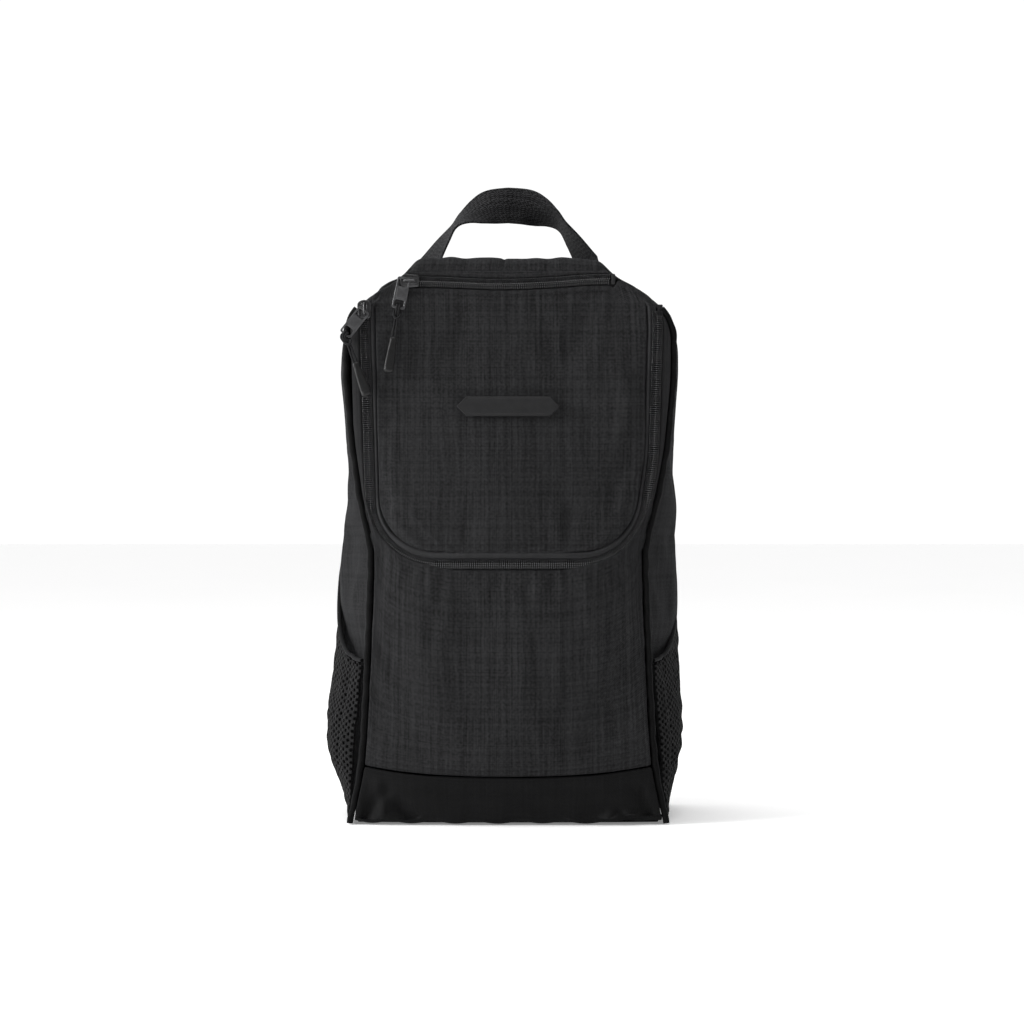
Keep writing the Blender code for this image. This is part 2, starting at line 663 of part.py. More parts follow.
def puller(name, frame, hanging, cord_cloth, rubber):
    """A cord looped round the tab's lower bar, and its moulded grip. frame is at that bar, with X along it;
    hanging is the cord's direction in it.
    """
    loop_r = TAB_BAR / 2 + 0.0005 + CORD_R
    turn = frame_of(hanging, (0, -1, 0))
    side, end = turn @ Vector((0.0011, 0, 0)), turn @ Vector((0, 0, -PULL_CORD_L))
    points = [end - side, end * 0.35 + Vector((0, -loop_r * 0.9, 0)) - side * 0.5]
    for i in range(7):
        a = math.pi * i / 6
        points.append(Vector((0.0, -loop_r * math.cos(a), loop_r * math.sin(a))))
    points += [end * 0.35 + Vector((0, loop_r * 0.9, 0)) + side * 0.5, end + side]
    tube(f"{name}_cord", points, CORD_R, cord_cloth, 1, frame)
    grip = add_object(f"{name}_grip", pull_end_mesh(f"{name}_grip"), rubber, PARTS)
    grip.parent = frame
    grip.matrix_basis = Matrix.Translation(turn @ Vector((0, 0, -PULL_CORD_L - GAP))) @ turn.to_4x4()
    rounding = grip.modifiers.new("rounding", "BEVEL")
    rounding.width = 0.0014
    rounding.segments = 2


def frame_of(hanging, outward):
    """Axes with -Z along hanging and -Y as near outward as it can be, as a rotation matrix."""
    down = Vector(hanging).normalized()
    out = Vector(outward)
    out = (out - down * out.dot(down)).normalized()
    across = (-out).cross(-down)
    return Matrix((across, -out, -down)).transposed()


def make_pulls(name, pivot, rise, tab_dir, pull_dir, metal, cord_cloth, rubber):
    """A pull tab turning about pivot, its top bar rise above that, and the cord and grip at its lower bar."""
    tab_turn = frame_of(tab_dir, (0, -1, 0))
    holder = empty_at(f"{name}_tab_pivot", pivot, tab_turn)
    place = Matrix.Translation((0, 0, rise)) @ Matrix.Rotation(math.pi / 2, 4, "X")
    plate(f"{name}_tab", tab_outlines(), TAB_T, metal, place, holder)
    bar = Vector(pivot) + Vector(tab_dir).normalized() * (TAB_L - TAB_BAR - rise)
    hang = empty_at(f"{name}_pull_pivot", bar, tab_turn)
    puller(f"{name}_pull", hang, tab_turn.inverted() @ Vector(pull_dir), cord_cloth, rubber)


def make_sliders(metal, cord_cloth, rubber):
    lean = (ZIP_TOP_X - ZIP_CORNER_X) / (ZIP_TOP_Z - ZIP_CORNER_Z)
    x = -(ZIP_CORNER_X + lean * (DOOR_SLIDER_Z - ZIP_CORNER_Z))
    place = front_point(x, DOOR_SLIDER_Z)
    low = front_point(-ZIP_CORNER_X, ZIP_CORNER_Z)
    along = (place - low).normalized()
    out = (Vector((0, -1, 0)) - along * Vector((0, -1, 0)).dot(along)).normalized()
    across = along.cross(out)
    frame = empty_at("door_slider_frame", place, Matrix((across, along, out)).transposed())
    top = slider("door_slider", frame, metal, full=False)
    pivot = place - along * 0.0010 + out * (top + GAP + TAB_T / 2)
    make_pulls("door", pivot, 0.0, DOOR_TAB_DIR, DOOR_PULL_DIR, metal, cord_cloth, rubber)

    place = front_point(POCKET_SLIDER_X, POCKET_ZIP_Z)
    turn = Matrix(((0, -1, 0), (0, 0, -1), (1, 0, 0)))
    frame = empty_at("pocket_slider_frame", place, turn)
    top = slider("pocket_slider", frame, metal, full=True)
    leg = Vector((POCKET_SLIDER_X - SLIDER_L * BRIDGE_HALF, place.y - top - GAP - TAB_T / 2, POCKET_ZIP_Z))
    rise = BRIDGE_R + TAB_BAR / 2 + GAP
    make_pulls("pocket", leg, rise, POCKET_TAB_DIR, POCKET_PULL_DIR, metal, cord_cloth, rubber)


# ---------------------------------------------------------------- the whole bag
clear_scene()
PARTS = bpy.data.collections.new("shoe_bag")
CUTTERS = bpy.data.collections.new("cutters")
for group in (PARTS, CUTTERS):
    bpy.context.scene.collection.children.link(group)

twill = make_material("twill", BLACK, 0.85)
smooth_twill = make_material("smooth_twill", (0.014, 0.014, 0.015), 0.75)
spacer_mesh = make_material("spacer_mesh", (0.010, 0.010, 0.011), 0.9)
binding = make_material("binding", (0.012, 0.012, 0.013), 0.8)
piping = make_material("piping", (0.014, 0.014, 0.015), 0.8)
zip_tape = make_material("zip_tape", (0.013, 0.013, 0.014), 0.85)
nylon = make_material("nylon_coil", (0.012, 0.012, 0.013), 0.45)
webbing_black = make_material("webbing", (0.011, 0.011, 0.012), 0.8)
gunmetal = make_material("gunmetal", (0.05, 0.05, 0.055), 0.38, 1.0)
cord_black = make_material("pull_cord", (0.012, 0.012, 0.013), 0.7)
grip_rubber = make_material("grip_rubber", (0.018, 0.018, 0.019), 0.55)
lining = make_material("lining", (0.010, 0.010, 0.011), 0.7)
film = make_material("print_film", (0.030, 0.030, 0.031), 0.5)

make_back_and_bottom(twill)
make_front(twill, smooth_twill)
make_top(twill)
make_sides(twill, spacer_mesh, binding, piping)
make_door_zip_body_side(zip_tape, nylon)
make_door(twill, lining, zip_tape, nylon, film)
make_handle(webbing_black)
make_sliders(gunmetal, cord_black, grip_rubber)
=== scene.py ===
"""Looks of the zipped shoe bag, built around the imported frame: sewn fabric panels, real zip teeth, perforated
mesh pockets, webbing handle and pulls. Metres, +Z up, front facing -Y.
"""

import math
from collections import Counter

import bpy
import numpy as np
from mathutils import Matrix, Vector


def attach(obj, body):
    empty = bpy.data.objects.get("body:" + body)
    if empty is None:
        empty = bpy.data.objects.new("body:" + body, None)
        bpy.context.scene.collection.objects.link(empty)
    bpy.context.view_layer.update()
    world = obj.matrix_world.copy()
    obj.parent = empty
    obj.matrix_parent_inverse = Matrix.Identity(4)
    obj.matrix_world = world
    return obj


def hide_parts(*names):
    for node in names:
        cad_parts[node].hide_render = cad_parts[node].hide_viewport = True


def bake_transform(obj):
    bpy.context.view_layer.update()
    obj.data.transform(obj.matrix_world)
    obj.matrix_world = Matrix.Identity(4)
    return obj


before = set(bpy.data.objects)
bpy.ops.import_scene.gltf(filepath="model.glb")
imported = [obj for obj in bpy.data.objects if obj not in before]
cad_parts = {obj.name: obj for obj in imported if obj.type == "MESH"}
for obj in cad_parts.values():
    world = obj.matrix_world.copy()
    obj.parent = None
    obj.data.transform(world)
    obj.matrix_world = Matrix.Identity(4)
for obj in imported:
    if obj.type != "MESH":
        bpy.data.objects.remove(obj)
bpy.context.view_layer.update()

# ---------------------------------------------------------------- dimensions shared with the CAD
MM = 0.001
BACK_Y = 0.0637
GAP = 0.0004
COVER_LIFT = 0.0018
COIL_LIFT = 0.0022
PIPE_R = 0.0021
BAND_SEAM_Z = 0.0315
BAND_SEAM_RISE = 0.007
SHOULDER_Z = 0.3435
SHOULDER_STEPS = (0.0032, 0.0030)
FRONT_EDGE = (
    (0.000, 0.1050), (0.045, 0.0970), (0.110, 0.0932), (0.180, 0.0912), (0.200, 0.0950), (0.215, 0.0982),
    (0.230, 0.1005), (0.256, 0.1040), (0.308, 0.1080), (0.322, 0.1080), (0.335, 0.1055), (0.3435, 0.1000),
)
BACK_EDGE = (
    (0.000, 0.1060), (0.030, 0.1120), (0.070, 0.1150), (0.120, 0.1155), (0.165, 0.1150), (0.200, 0.1130),
    (0.235, 0.1090), (0.260, 0.1090), (0.308, 0.1115), (0.322, 0.1110), (0.335, 0.1075), (0.3435, 0.1000),
)
SIDE_BULGE = (
    (0.000, 0.0015), (0.030, 0.0020), (0.070, 0.0025), (0.120, 0.0035), (0.150, 0.0050), (0.180, 0.0085),
    (0.205, 0.0090), (0.225, 0.0070), (0.245, 0.0040), (0.270, 0.0025), (0.310, 0.0020), (0.3435, 0.0010),
)
BACK_SHOULDER = ((0.3435, 0.1000), (0.3495, 0.0940), (0.3535, 0.0880), (0.3605, 0.0770), (0.3670, 0.0680),
                 (0.3745, 0.0580), (0.3760, 0.0480))
CROWN_EDGE = (
    (0.000, 0.1030), (0.045, 0.0950), (0.110, 0.0912), (0.180, 0.0890), (0.215, 0.0913), (0.343, 0.0957),
    (0.376, 0.0968),
)
TOP_LINE = (
    (0.000, 0.3760), (0.040, 0.3760), (0.058, 0.3745), (0.068, 0.3670), (0.077, 0.3605), (0.088, 0.3535),
    (0.094, 0.3495), (0.100, 0.3435),
)
EDGE_Y = (
    (0.000, -0.0463), (0.060, -0.0498), (0.130, -0.0513), (0.200, -0.04955), (0.215, -0.0488),
    (0.345, -0.0423), (0.352, -0.0420), (0.376, -0.0418),
)
CROWN = (
    (0.000, 0.0040), (0.050, 0.0090), (0.110, 0.0130), (0.180, 0.0135), (0.230, 0.0110), (0.265, 0.0060),
    (0.295, 0.0025), (0.335, 0.0000), (0.376, 0.0000),
)
CROWN_POWER = 2.6
BEYOND_EDGE_SLOPE = 0.25
ZIP_TOP_Z = 0.342
ZIP_CORNER_Z = 0.215
ZIP_TOP_X = 0.0955
ZIP_CORNER_X = 0.0913
ZIP_CORNER_A = 0.045
ZIP_CORNER_B = 0.042
LEAN = (ZIP_TOP_X - ZIP_CORNER_X) / (ZIP_TOP_Z - ZIP_CORNER_Z)
DOOR_INSET = 0.0074
POCKET_ZIP_Z = 0.3605
POCKET_ZIP_HALF = 0.0690
FOLD_Z = 0.3663
DOOR_SHOULDER = ((0.350, 0.0880), (0.351, 0.0868), (0.358, 0.0760), (0.3645, 0.0672), (0.366, 0.0650))
SLIDER_L = 0.0125
CHANNEL = 0.00035
PLATE_T = 0.0012
BRIDGE_R = 0.0007
BRIDGE_H = 0.0032
BRIDGE_HALF = 0.30
TAB_L = 0.0215
TAB_W = 0.0088
TAB_BAR = 0.0013
EYE_H = 0.0052
WINDOW_H = 0.0048
TAB_T = 0.0010
CORD_R = 0.00075
PULL_CORD_L = 0.0195
PULL_END_L = 0.0245
DOOR_SLIDER_Z = 0.3415
POCKET_SLIDER_X = -0.0655
DOOR_TAB_DIR = (-0.62, -0.06, -0.78)
DOOR_PULL_DIR = (0.34, -0.10, -0.94)
POCKET_TAB_DIR = (-0.20, -0.05, -0.98)
POCKET_PULL_DIR = (-0.14, -0.14, -0.98)
HANDLE_Y = 0.0437
HANDLE_X = ((0.00, 0.0), (0.15, 0.0110), (0.32, 0.0219), (0.50, 0.0310), (0.68, 0.0385), (0.84, 0.0458),
            (1.00, 0.0545))
HANDLE_Z = ((0.00, 0.4219), (0.15, 0.4210), (0.32, 0.4176), (0.50, 0.4130), (0.68, 0.4065), (0.84, 0.3965),
            (1.00, 0.3825))
HANDLE_TURN = ((0.00, 0.0), (0.15, 10.0), (0.32, 38.0), (0.50, 64.0), (0.68, 78.0), (0.84, 68.0),
               (1.00, 50.0))
WEBBING_W = 0.0250
HEM_Z_FRONT = 0.108
HEM_RISE = 0.066
POCKET_FOOT_Z = 0.0045
POCKET_BULGE = 0.0125
MESH_T = 0.0018
EMBLEM_Z = 0.277
EMBLEM_HALF_W = 0.034
EMBLEM_HALF_H = 0.0065
TO_FRONT = (0, -1, 0)


# ---------------------------------------------------------------- the skin
def smooth(low, high, value):
    share = np.clip((np.asarray(value, float) - low) / (high - low), 0, 1)
    return share * share * (3 - 2 * share)


def bell(distance, width):
    """1 at no distance, falling off over width on both sides."""
    return np.exp(-((distance / width) ** 2))


def read(table, at):
    """A smooth curve through the table's points that doesn't overshoot between them."""
    xs, ys = np.array(table).T
    slopes = np.diff(ys) / np.diff(xs)
    before, after = slopes[:-1], slopes[1:]
    same = before * after > 0
    inner = np.where(same, 2 * before * after / np.where(same, before + after, 1), 0)
    tangents = np.concatenate(([slopes[0]], inner, [slopes[-1]]))
    at = np.clip(np.asarray(at, float), xs[0], xs[-1])
    i = np.clip(np.searchsorted(xs, at, side="right") - 1, 0, len(xs) - 2)
    width = xs[i + 1] - xs[i]
    t = (at - xs[i]) / width
    return (
        (1 + 2 * t) * (1 - t) ** 2 * ys[i]
        + t * (1 - t) ** 2 * width * tangents[i]
        + t * t * (3 - 2 * t) * ys[i + 1]
        + t * t * (t - 1) * width * tangents[i + 1]
    )


def skin_y(x, z):
    edge = read(CROWN_EDGE, z)
    share = np.minimum(1.0, np.abs(x) / edge)
    crown = read(CROWN, z) * (1 - share**CROWN_POWER)
    return read(EDGE_Y, z) - crown + BEYOND_EDGE_SLOPE * np.maximum(0.0, np.abs(x) - edge)


def front(x, z, lift=0.0):
    """Points lift metres in front of the skin, stacked along a last axis."""
    x, z, lift = np.broadcast_arrays(np.asarray(x, float), z, lift)
    return np.stack([x, skin_y(x, z) - lift, z], -1)


def band_seam_z(x):
    return BAND_SEAM_Z + BAND_SEAM_RISE * (np.abs(x) / 0.095) ** 2.5


def piping_y(z):
    return skin_y(read(FRONT_EDGE, z), z)


def back_edge(z):
    """How far out the back panel's edge is, up the sides and over the shoulders."""
    return np.where(z <= SHOULDER_Z, read(BACK_EDGE, z), read(BACK_SHOULDER, z))


def side_surface(z, depth):
    """The right side: depth 0 at the front piping, 1 at the back seam."""
    z, depth = np.broadcast_arrays(np.asarray(z, float), depth)
    x = read(FRONT_EDGE, z) * (1 - depth) + read(BACK_EDGE, z) * depth
    y = (piping_y(z) + PIPE_R + GAP) * (1 - depth) + (BACK_Y - GAP) * depth
    return np.stack([x + read(SIDE_BULGE, z) * np.sin(np.pi * depth), y, z], -1)


def hem_z(depth):
    return HEM_Z_FRONT + HEM_RISE * depth**2.2


def mesh_surface(depth, z, slack=0.0):
    """The outer face of the right mesh pocket; slack is how much further it stands off than in the CAD."""
    share = (z - POCKET_FOOT_Z) / (hem_z(depth) - POCKET_FOOT_Z)
    place = side_surface(z, depth)
    across = np.sin(np.pi * np.clip(depth, 0, 1) ** 0.75) ** 0.8
    upward = smooth(-0.02, 0.42, share) * (1 - 0.62 * smooth(0.45, 1.0, share))
    fold = 0.0011 * bell(depth - 0.16 - 0.03 * share, 0.035) * smooth(0.1, 0.4, share)
    place[..., 0] += MESH_T + 0.0006 + (POCKET_BULGE + slack) * across * upward - fold
    return place


def door_half_width(z, inset):
    z, inset = np.broadcast_arrays(np.asarray(z, float), inset)
    down = np.clip((ZIP_CORNER_Z - z) / (ZIP_CORNER_B - inset), 0, 1)
    low = ZIP_CORNER_X - ZIP_CORNER_A + (ZIP_CORNER_A - inset) * np.sqrt(1 - down**2)
    straight = ZIP_CORNER_X + LEAN * (np.minimum(z, ZIP_TOP_Z) - ZIP_CORNER_Z) - inset
    high = read(DOOR_SHOULDER, z) - (inset - DOOR_INSET)
    joined = straight + (high - straight) * smooth(0.340, 0.351, z)
    return np.where(z < ZIP_CORNER_Z, low, np.where(z < 0.340, straight, joined))


def zip_lean(z):
    """The bag isn't quite even: the right run of the door's zip stands a little further out than the left."""
    return 0.0020 * smooth(0.205, 0.250, z)


def settle_right(points):
    """The bag's upper right side hangs a little further out than its left."""
    points = np.array(points, float)
    x, z = points[..., 0], points[..., 2]
    amount = 0.0024 * smooth(0.050, 0.096, x) * smooth(0.190, 0.255, z) * (1 - 0.55 * smooth(0.325, 0.350, z))
    points[..., 0] = x + amount
    return points


def ripple(a, b, scale, seed):
    """Soft uneven waves about scale metres long, about 1 high."""
    rng = np.random.default_rng(seed)
    waves = 14
    total = 0
    for _ in range(waves):
        turn, phase = rng.uniform(0, 2 * np.pi, 2)
        k = 2 * np.pi / (scale * rng.uniform(0.6, 1.8))
        total = total + np.sin(k * (a * np.cos(turn) + b * np.sin(turn)) + phase)
    return total / math.sqrt(waves / 2)


def creases(x, z, lines):
    """Soft grooves in a panel, or ridges where the depth is below 0. Each line has its start's x and z, its
    end's x and z, its width and its depth, in millimetres.
    """
    total = 0
    for line in lines:
        ax, az, bx, bz, width, depth = np.array(line) * MM
        dx, dz = bx - ax, bz - az
        near = np.clip(((x - ax) * dx + (z - az) * dz) / (dx * dx + dz * dz), 0, 1)
        far = np.hypot(x - ax - near * dx, z - az - near * dz)
        total = total - depth * bell(far, width) * smooth(0, 0.3, near) * (1 - smooth(0.7, 1.0, near))
    return total


# ---------------------------------------------------------------- meshes
def grid_quads(rows, columns):
    i = np.arange(rows - 1)[:, None] * columns + np.arange(columns - 1)[None, :]
    return np.stack([i, i + 1, i + 1 + columns, i + columns], -1).reshape(-1, 4)


def unit(v):
    return v / np.maximum(np.linalg.norm(v, axis=-1, keepdims=True), 1e-12)


def arc_of(path):
    """The distance along a path, 0 at its first point."""
    return np.concatenate([[0], np.cumsum(np.linalg.norm(np.diff(path, axis=0), axis=1))])


def ring_quads(count, sides):
    """Quads between rings of points that follow each other."""
    i = np.arange(count - 1)[:, None] * sides
    j = np.arange(sides)[None, :]
    k = (j + 1) % sides
    return np.stack([i + j, i + k, i + sides + k, i + sides + j], -1).reshape(-1, 4)


def face_normals(verts, quads):
    return np.cross(verts[quads[:, 2]] - verts[quads[:, 0]], verts[quads[:, 3]] - verts[quads[:, 1]])


def vertex_normals(verts, quads):
    total = np.zeros_like(verts)
    normals = face_normals(verts, quads)
    for k in range(4):
        np.add.at(total, quads[:, k], normals)
    return unit(total)


def grid_normals(points, facing):
    flat = points.reshape(-1, 3)
    quads = grid_quads(*points.shape[:2])
    normals = vertex_normals(flat, quads)
    if (normals @ np.array(facing, float)).sum() < 0:
        normals = -normals
    return normals.reshape(points.shape)


def arc_uv(points):
    """UVs in metres: across from the middle column, and up from the first row."""
    across = np.linalg.norm(np.diff(points, axis=1), axis=-1)
    u = np.concatenate([np.zeros((len(points), 1)), np.cumsum(across, 1)], 1)
    u -= u[:, [points.shape[1] // 2]]
    up = np.linalg.norm(np.diff(points[:, points.shape[1] // 2], axis=0), axis=-1)
    v = np.concatenate([[0], np.cumsum(up)])[:, None] + np.zeros_like(u)
    return np.stack([u, v], -1).reshape(-1, 2)


def loops_of(quads):
    """The open edges of a surface as closed loops, each running with its faces on the left."""
    edges = {(int(a), int(b)) for q in quads for a, b in zip(q, np.roll(q, -1))}
    following = {a: b for a, b in edges if (b, a) not in edges}
    loops = []
    while following:
        first = min(following)
        loop = [first]
        at = following.pop(first)
        while at != first:
            loop.append(at)
            at = following.pop(at)
        loops.append(np.array(loop))
    return loops


def link(name, data):
    made = bpy.data.objects.new(name, data)
    bpy.context.scene.collection.objects.link(made)
    return made


def make(name, verts, faces, uv, material, slot, body=None, replaces=(), sharp=50.0):
    mesh = bpy.data.meshes.new(name)
    mesh.from_pydata(settle_right(verts).tolist(), [], [list(map(int, f)) for f in faces])
    layer = mesh.uv_layers.new(name="UVMap")
    corner = np.zeros(len(mesh.loops), np.int32)
    mesh.loops.foreach_get("vertex_index", corner)
    layer.data.foreach_set("uv", np.asarray(uv, np.float32)[corner].ravel())
    mesh.materials.append(material)
    mesh.shade_smooth()
    mesh.set_sharp_from_angle(angle=math.radians(sharp))
    mesh.update()
    made = link(name, mesh)
    if body:
        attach(made, body)
    if replaces:
        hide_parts(*replaces)
    return made


def sheet(name, points, facing, material, slot, body, replaces=(), thickness=0.0010, roll=0.0012, steps=4,
          tuck=0.0):
    """A closed shell of cloth through a grid of points on its outer face, whose edges roll over. roll is the
    radius of the turned edge, and tuck is how much further the cloth goes in behind it.
    """
    verts, uv, quads = points.reshape(-1, 3), arc_uv(points), grid_quads(*points.shape[:2])
    if (face_normals(verts, quads) @ np.array(facing, float)).sum() < 0:
        quads = quads[:, ::-1]
    normals = vertex_normals(verts, quads)
    outer, coords, lean = [verts], [uv], [normals]
    faces = [quads]
    count = len(verts)
    ends = []
    for loop in loops_of(quads):
        at, up = verts[loop], normals[loop]
        along = unit(np.roll(at, -1, 0) - np.roll(at, 1, 0))
        out = unit(np.cross(along, up))
        across = out[:, 0] if abs(facing[0]) < 0.7 else out[:, 1]
        upward = out[:, 2] if abs(facing[2]) < 0.7 else out[:, 1]
        flat = unit(np.stack([across, upward], -1))
        last = loop
        angles = [math.pi / 2 * k / steps for k in range(1, steps + 1)]
        for k, a in enumerate(angles + ([angles[-1]] if tuck else [])):
            down = tuck if k == steps else 0.0
            outer.append(at + out * roll * math.sin(a) - up * (roll * (1 - math.cos(a)) + down))
            lean.append(unit(out * math.sin(a) + up * math.cos(a)))
            coords.append(uv[loop] + flat * (roll * a + down))
            ring = count + np.arange(len(loop))
            faces.append(np.stack([np.roll(last, -1), last, ring, np.roll(ring, -1)], -1))
            last = ring
            count += len(loop)
        ends.append(last)
    outer, coords, lean = np.concatenate(outer), np.concatenate(coords), np.concatenate(lean)
    faces = np.concatenate(faces)
    inner = outer - lean * thickness
    shut = [np.stack([np.roll(e, -1), e, e + count, np.roll(e, -1) + count], -1) for e in ends]
    everything = np.concatenate([faces, faces[:, ::-1] + count, *shut])
    return make(name, np.concatenate([outer, inner]), everything, np.concatenate([coords, coords]), material,
                slot, body, replaces)


def band(name, points, material, body, replaces):
    """A thin strip of tape beside a zip."""
    return sheet(name, points, TO_FRONT, material, "zip_tape", body, replaces, 0.0006, 0.0002, 2)


def between(a, b, c, d, t):
    """Catmull-Rom: a smooth run from b (t = 0) to c (t = 1), with a before it and d after it."""
    return 0.5 * (2 * b + (c - a) * t + (2 * a - 5 * b + 4 * c - d) * t**2 + (3 * b - a - 3 * c + d) * t**3)


def resample(path, spacing=None, count=None):
    path = np.asarray(path, float)
    arc = arc_of(path)
    count = count or max(3, int(round(arc[-1] / spacing)) + 1)
    at = np.linspace(0, arc[-1], count)
    return np.stack([np.interp(at, arc, path[:, k]) for k in range(path.shape[1])], 1)


def closed(outline, count):
    """A closed outline as count evenly spaced points."""
    outline = np.asarray(outline, float)
    return resample(np.concatenate([outline, outline[:1]]), count=count + 1)[:-1]


def rounded(path, spacing):
    """A smooth line through the given points, evenly spaced."""
    p = np.asarray(path, float)
    p = np.concatenate([[2 * p[0] - p[1]], p, [2 * p[-1] - p[-2]]])
    t = np.linspace(0, 1, 12, endpoint=False)[:, None]
    bits = []
    for four in zip(p, p[1:], p[2:], p[3:]):
        bits.append(between(*four, t))
    return resample(np.concatenate([*bits, [p[-2]]]), spacing)


def frames_along(path):
    """Two sideways directions at each point, carried along without twist."""
    tangent = unit(np.gradient(path, axis=0))
    side = np.cross(tangent[0], [0.0, 1.0, 0.0])
    if np.linalg.norm(side) < 0.1:
        side = np.cross(tangent[0], [1.0, 0.0, 0.0])
    sides = []
    for t in tangent:
        side = unit(side - t * (side @ t))
        sides.append(side)
    sides = np.array(sides)
    return sides, np.cross(tangent, sides)


def tube_data(path, radius, sides=12, shape=(1.0, 1.0), relief=None):
    path = np.asarray(path, float)
    a, b = frames_along(path)
    turn = np.arange(sides) * 2 * np.pi / sides
    arc = arc_of(path)
    r = np.broadcast_to(np.asarray(radius, float), (len(path),))[:, None] + np.zeros((1, sides))
    if relief:
        r = r * relief(turn[None, :], arc[:, None])
    ring = (path[:, None] + a[:, None] * (r * np.cos(turn) * shape[0])[..., None]
            + b[:, None] * (r * np.sin(turn) * shape[1])[..., None])
    uv = np.stack(np.broadcast_arrays(turn[None, :] * np.mean(r), arc[:, None]), -1)
    return loft_data(ring, uv)


def loft_data(rings, uv=None):
    """A closed body through rings of equal size, its ends capped with a point."""
    count, sides = rings.shape[:2]
    quads = ring_quads(count, sides).tolist()
    verts = np.concatenate([rings.reshape(-1, 3), rings[[0]].mean(1), rings[[-1]].mean(1)])
    total = count * sides
    for s in range(sides):
        n = (s + 1) % sides
        quads.append([total, n, s])
        quads.append([total + 1, total - sides + s, total - sides + n])
    if uv is None:
        around = np.linalg.norm(np.roll(rings, -1, 1) - rings, axis=-1)
        across = np.concatenate([np.zeros((count, 1)), np.cumsum(around, 1)[:, :-1]], 1)
        uv = np.stack(np.broadcast_arrays(across, arc_of(rings.mean(1))[:, None]), -1)
    flat = np.asarray(uv).reshape(-1, 2)
    return verts, quads, np.concatenate([flat, flat[[0]], flat[[-1]]])


def together(parts):
    verts, faces, uvs, base = [], [], [], 0
    for v, f, uv in parts:
        verts.append(v)
        faces += [[int(i) + base for i in face] for face in f]
        uvs.append(uv)
        base += len(v)
    return np.concatenate(verts), faces, np.concatenate(uvs)


def outward_faces(verts, faces):
    """Turns the faces of a closed body outwards if its volume comes out negative."""
    volume = 0.0
    for f in faces:
        a, b, c = verts[f[0]], verts[f[1]], verts[f[2]]
        volume += a @ np.cross(b, c)
        if len(f) == 4:
            d = verts[f[3]]
            volume += a @ np.cross(c, d)
    return [f[::-1] for f in faces] if volume < 0 else faces


def into(verts, place, turn):
    return verts @ np.array(turn).T + np.array(place)


def solid(name, data, material, slot, body, replaces=(), place=(0, 0, 0), turn=((1, 0, 0), (0, 1, 0), (0, 0, 1))):
    """A closed body from its points, faces and UVs, turned and put in its place."""
    verts, faces, uv = data
    verts = into(verts, place, turn)
    return make(name, verts, outward_faces(verts, faces), uv, material, slot, body, replaces)


def tube(name, path, radius, material, slot, body, replaces=(), **rest):
    return solid(name, tube_data(path, radius, **rest), material, slot, body, replaces)


def stitches(name, path, normal, body):
    """A row of sewn stitches along a path: each one rises out of the cloth and goes back in."""
    length, gap, radius, step = 0.0024, 0.0009, 0.00024, 8
    run = resample(path, spacing=(length + gap) / step)
    used = round(step * length / (length + gap))
    rise = np.sin(np.linspace(0, np.pi, used + 1)) * radius * 2.2 - radius * 0.9
    parts = []
    for s in range(0, len(run) - step, step):
        bit = run[s : s + used + 1] + np.array(normal) * rise[:, None]
        parts.append(tube_data(bit, radius, sides=6))
    return make(name, *together(parts), THREAD, "binding", body)


def cloth_field(points, fullness, cap):
    """How a panel with slightly too much cloth settles between its seams, as an offset at each grid point. The
    edges are held, fullness is the share of spare cloth and no point moves further than cap.
    """
    rows, columns = points.shape[:2]
    frames = 16
    mesh = bpy.data.meshes.new("cloth")
    mesh.from_pydata(points.reshape(-1, 3).tolist(), [], grid_quads(rows, columns).tolist())
    made = link("cloth", mesh)
    pinned = np.ones((rows, columns), bool)
    pinned[1:-1, 1:-1] = False
    group = made.vertex_groups.new(name="seams")
    group.add(np.flatnonzero(pinned).tolist(), 1.0, "REPLACE")
    cloth = made.modifiers.new("cloth", "CLOTH")
    s = cloth.settings
    s.quality = 5
    s.mass = 0.25
    s.tension_stiffness = s.compression_stiffness = 12
    s.shear_stiffness = 6
    s.bending_stiffness = 0.8
    s.vertex_group_mass = "seams"
    s.shrink_min = -fullness
    s.effector_weights.gravity = 0.12
    cloth.collision_settings.use_collision = False
    cloth.point_cache.frame_end = frames
    scene = bpy.context.scene
    for f in range(1, frames + 1):
        scene.frame_set(f)
    seen = made.evaluated_get(bpy.context.evaluated_depsgraph_get())
    after = np.zeros(rows * columns * 3, np.float32)
    seen.data.vertices.foreach_get("co", after)
    bpy.data.objects.remove(made)
    scene.frame_set(1)
    moved = after.reshape(rows, columns, 3) - points
    size = np.linalg.norm(moved, axis=-1, keepdims=True)
    return moved * (np.minimum(size, cap) / np.maximum(size, 1e-9))


def finer(field, rows, columns):
    """A grid of values resampled to more rows and columns, smoothly enough for cloth."""
    r0, c0 = field.shape[:2]
    r, c = np.linspace(0, r0 - 1, rows), np.linspace(0, c0 - 1, columns)

    def along(values, at, axis):
        values = np.moveaxis(values, axis, 0)
        n = len(values)
        i = np.clip(np.floor(at).astype(int), 0, n - 2)
        t = (at - i).reshape(-1, *([1] * (values.ndim - 1)))
        four = (values[np.clip(i + k, 0, n - 1)] for k in (-1, 0, 1, 2))
        return np.moveaxis(between(*four, t), 0, axis)

    return along(along(field, r, 0), c, 1)


def settled(points, coarse, fullness, cap):
    """points with the cloth's own slack added: simulated on a coarse grid and carried to the fine one."""
    rows, columns = points.shape[:2]
    r = np.linspace(0, rows - 1, coarse[0]).round().astype(int)
    c = np.linspace(0, columns - 1, coarse[1]).round().astype(int)
    return points + finer(cloth_field(points[np.ix_(r, c)], fullness, cap), rows, columns)


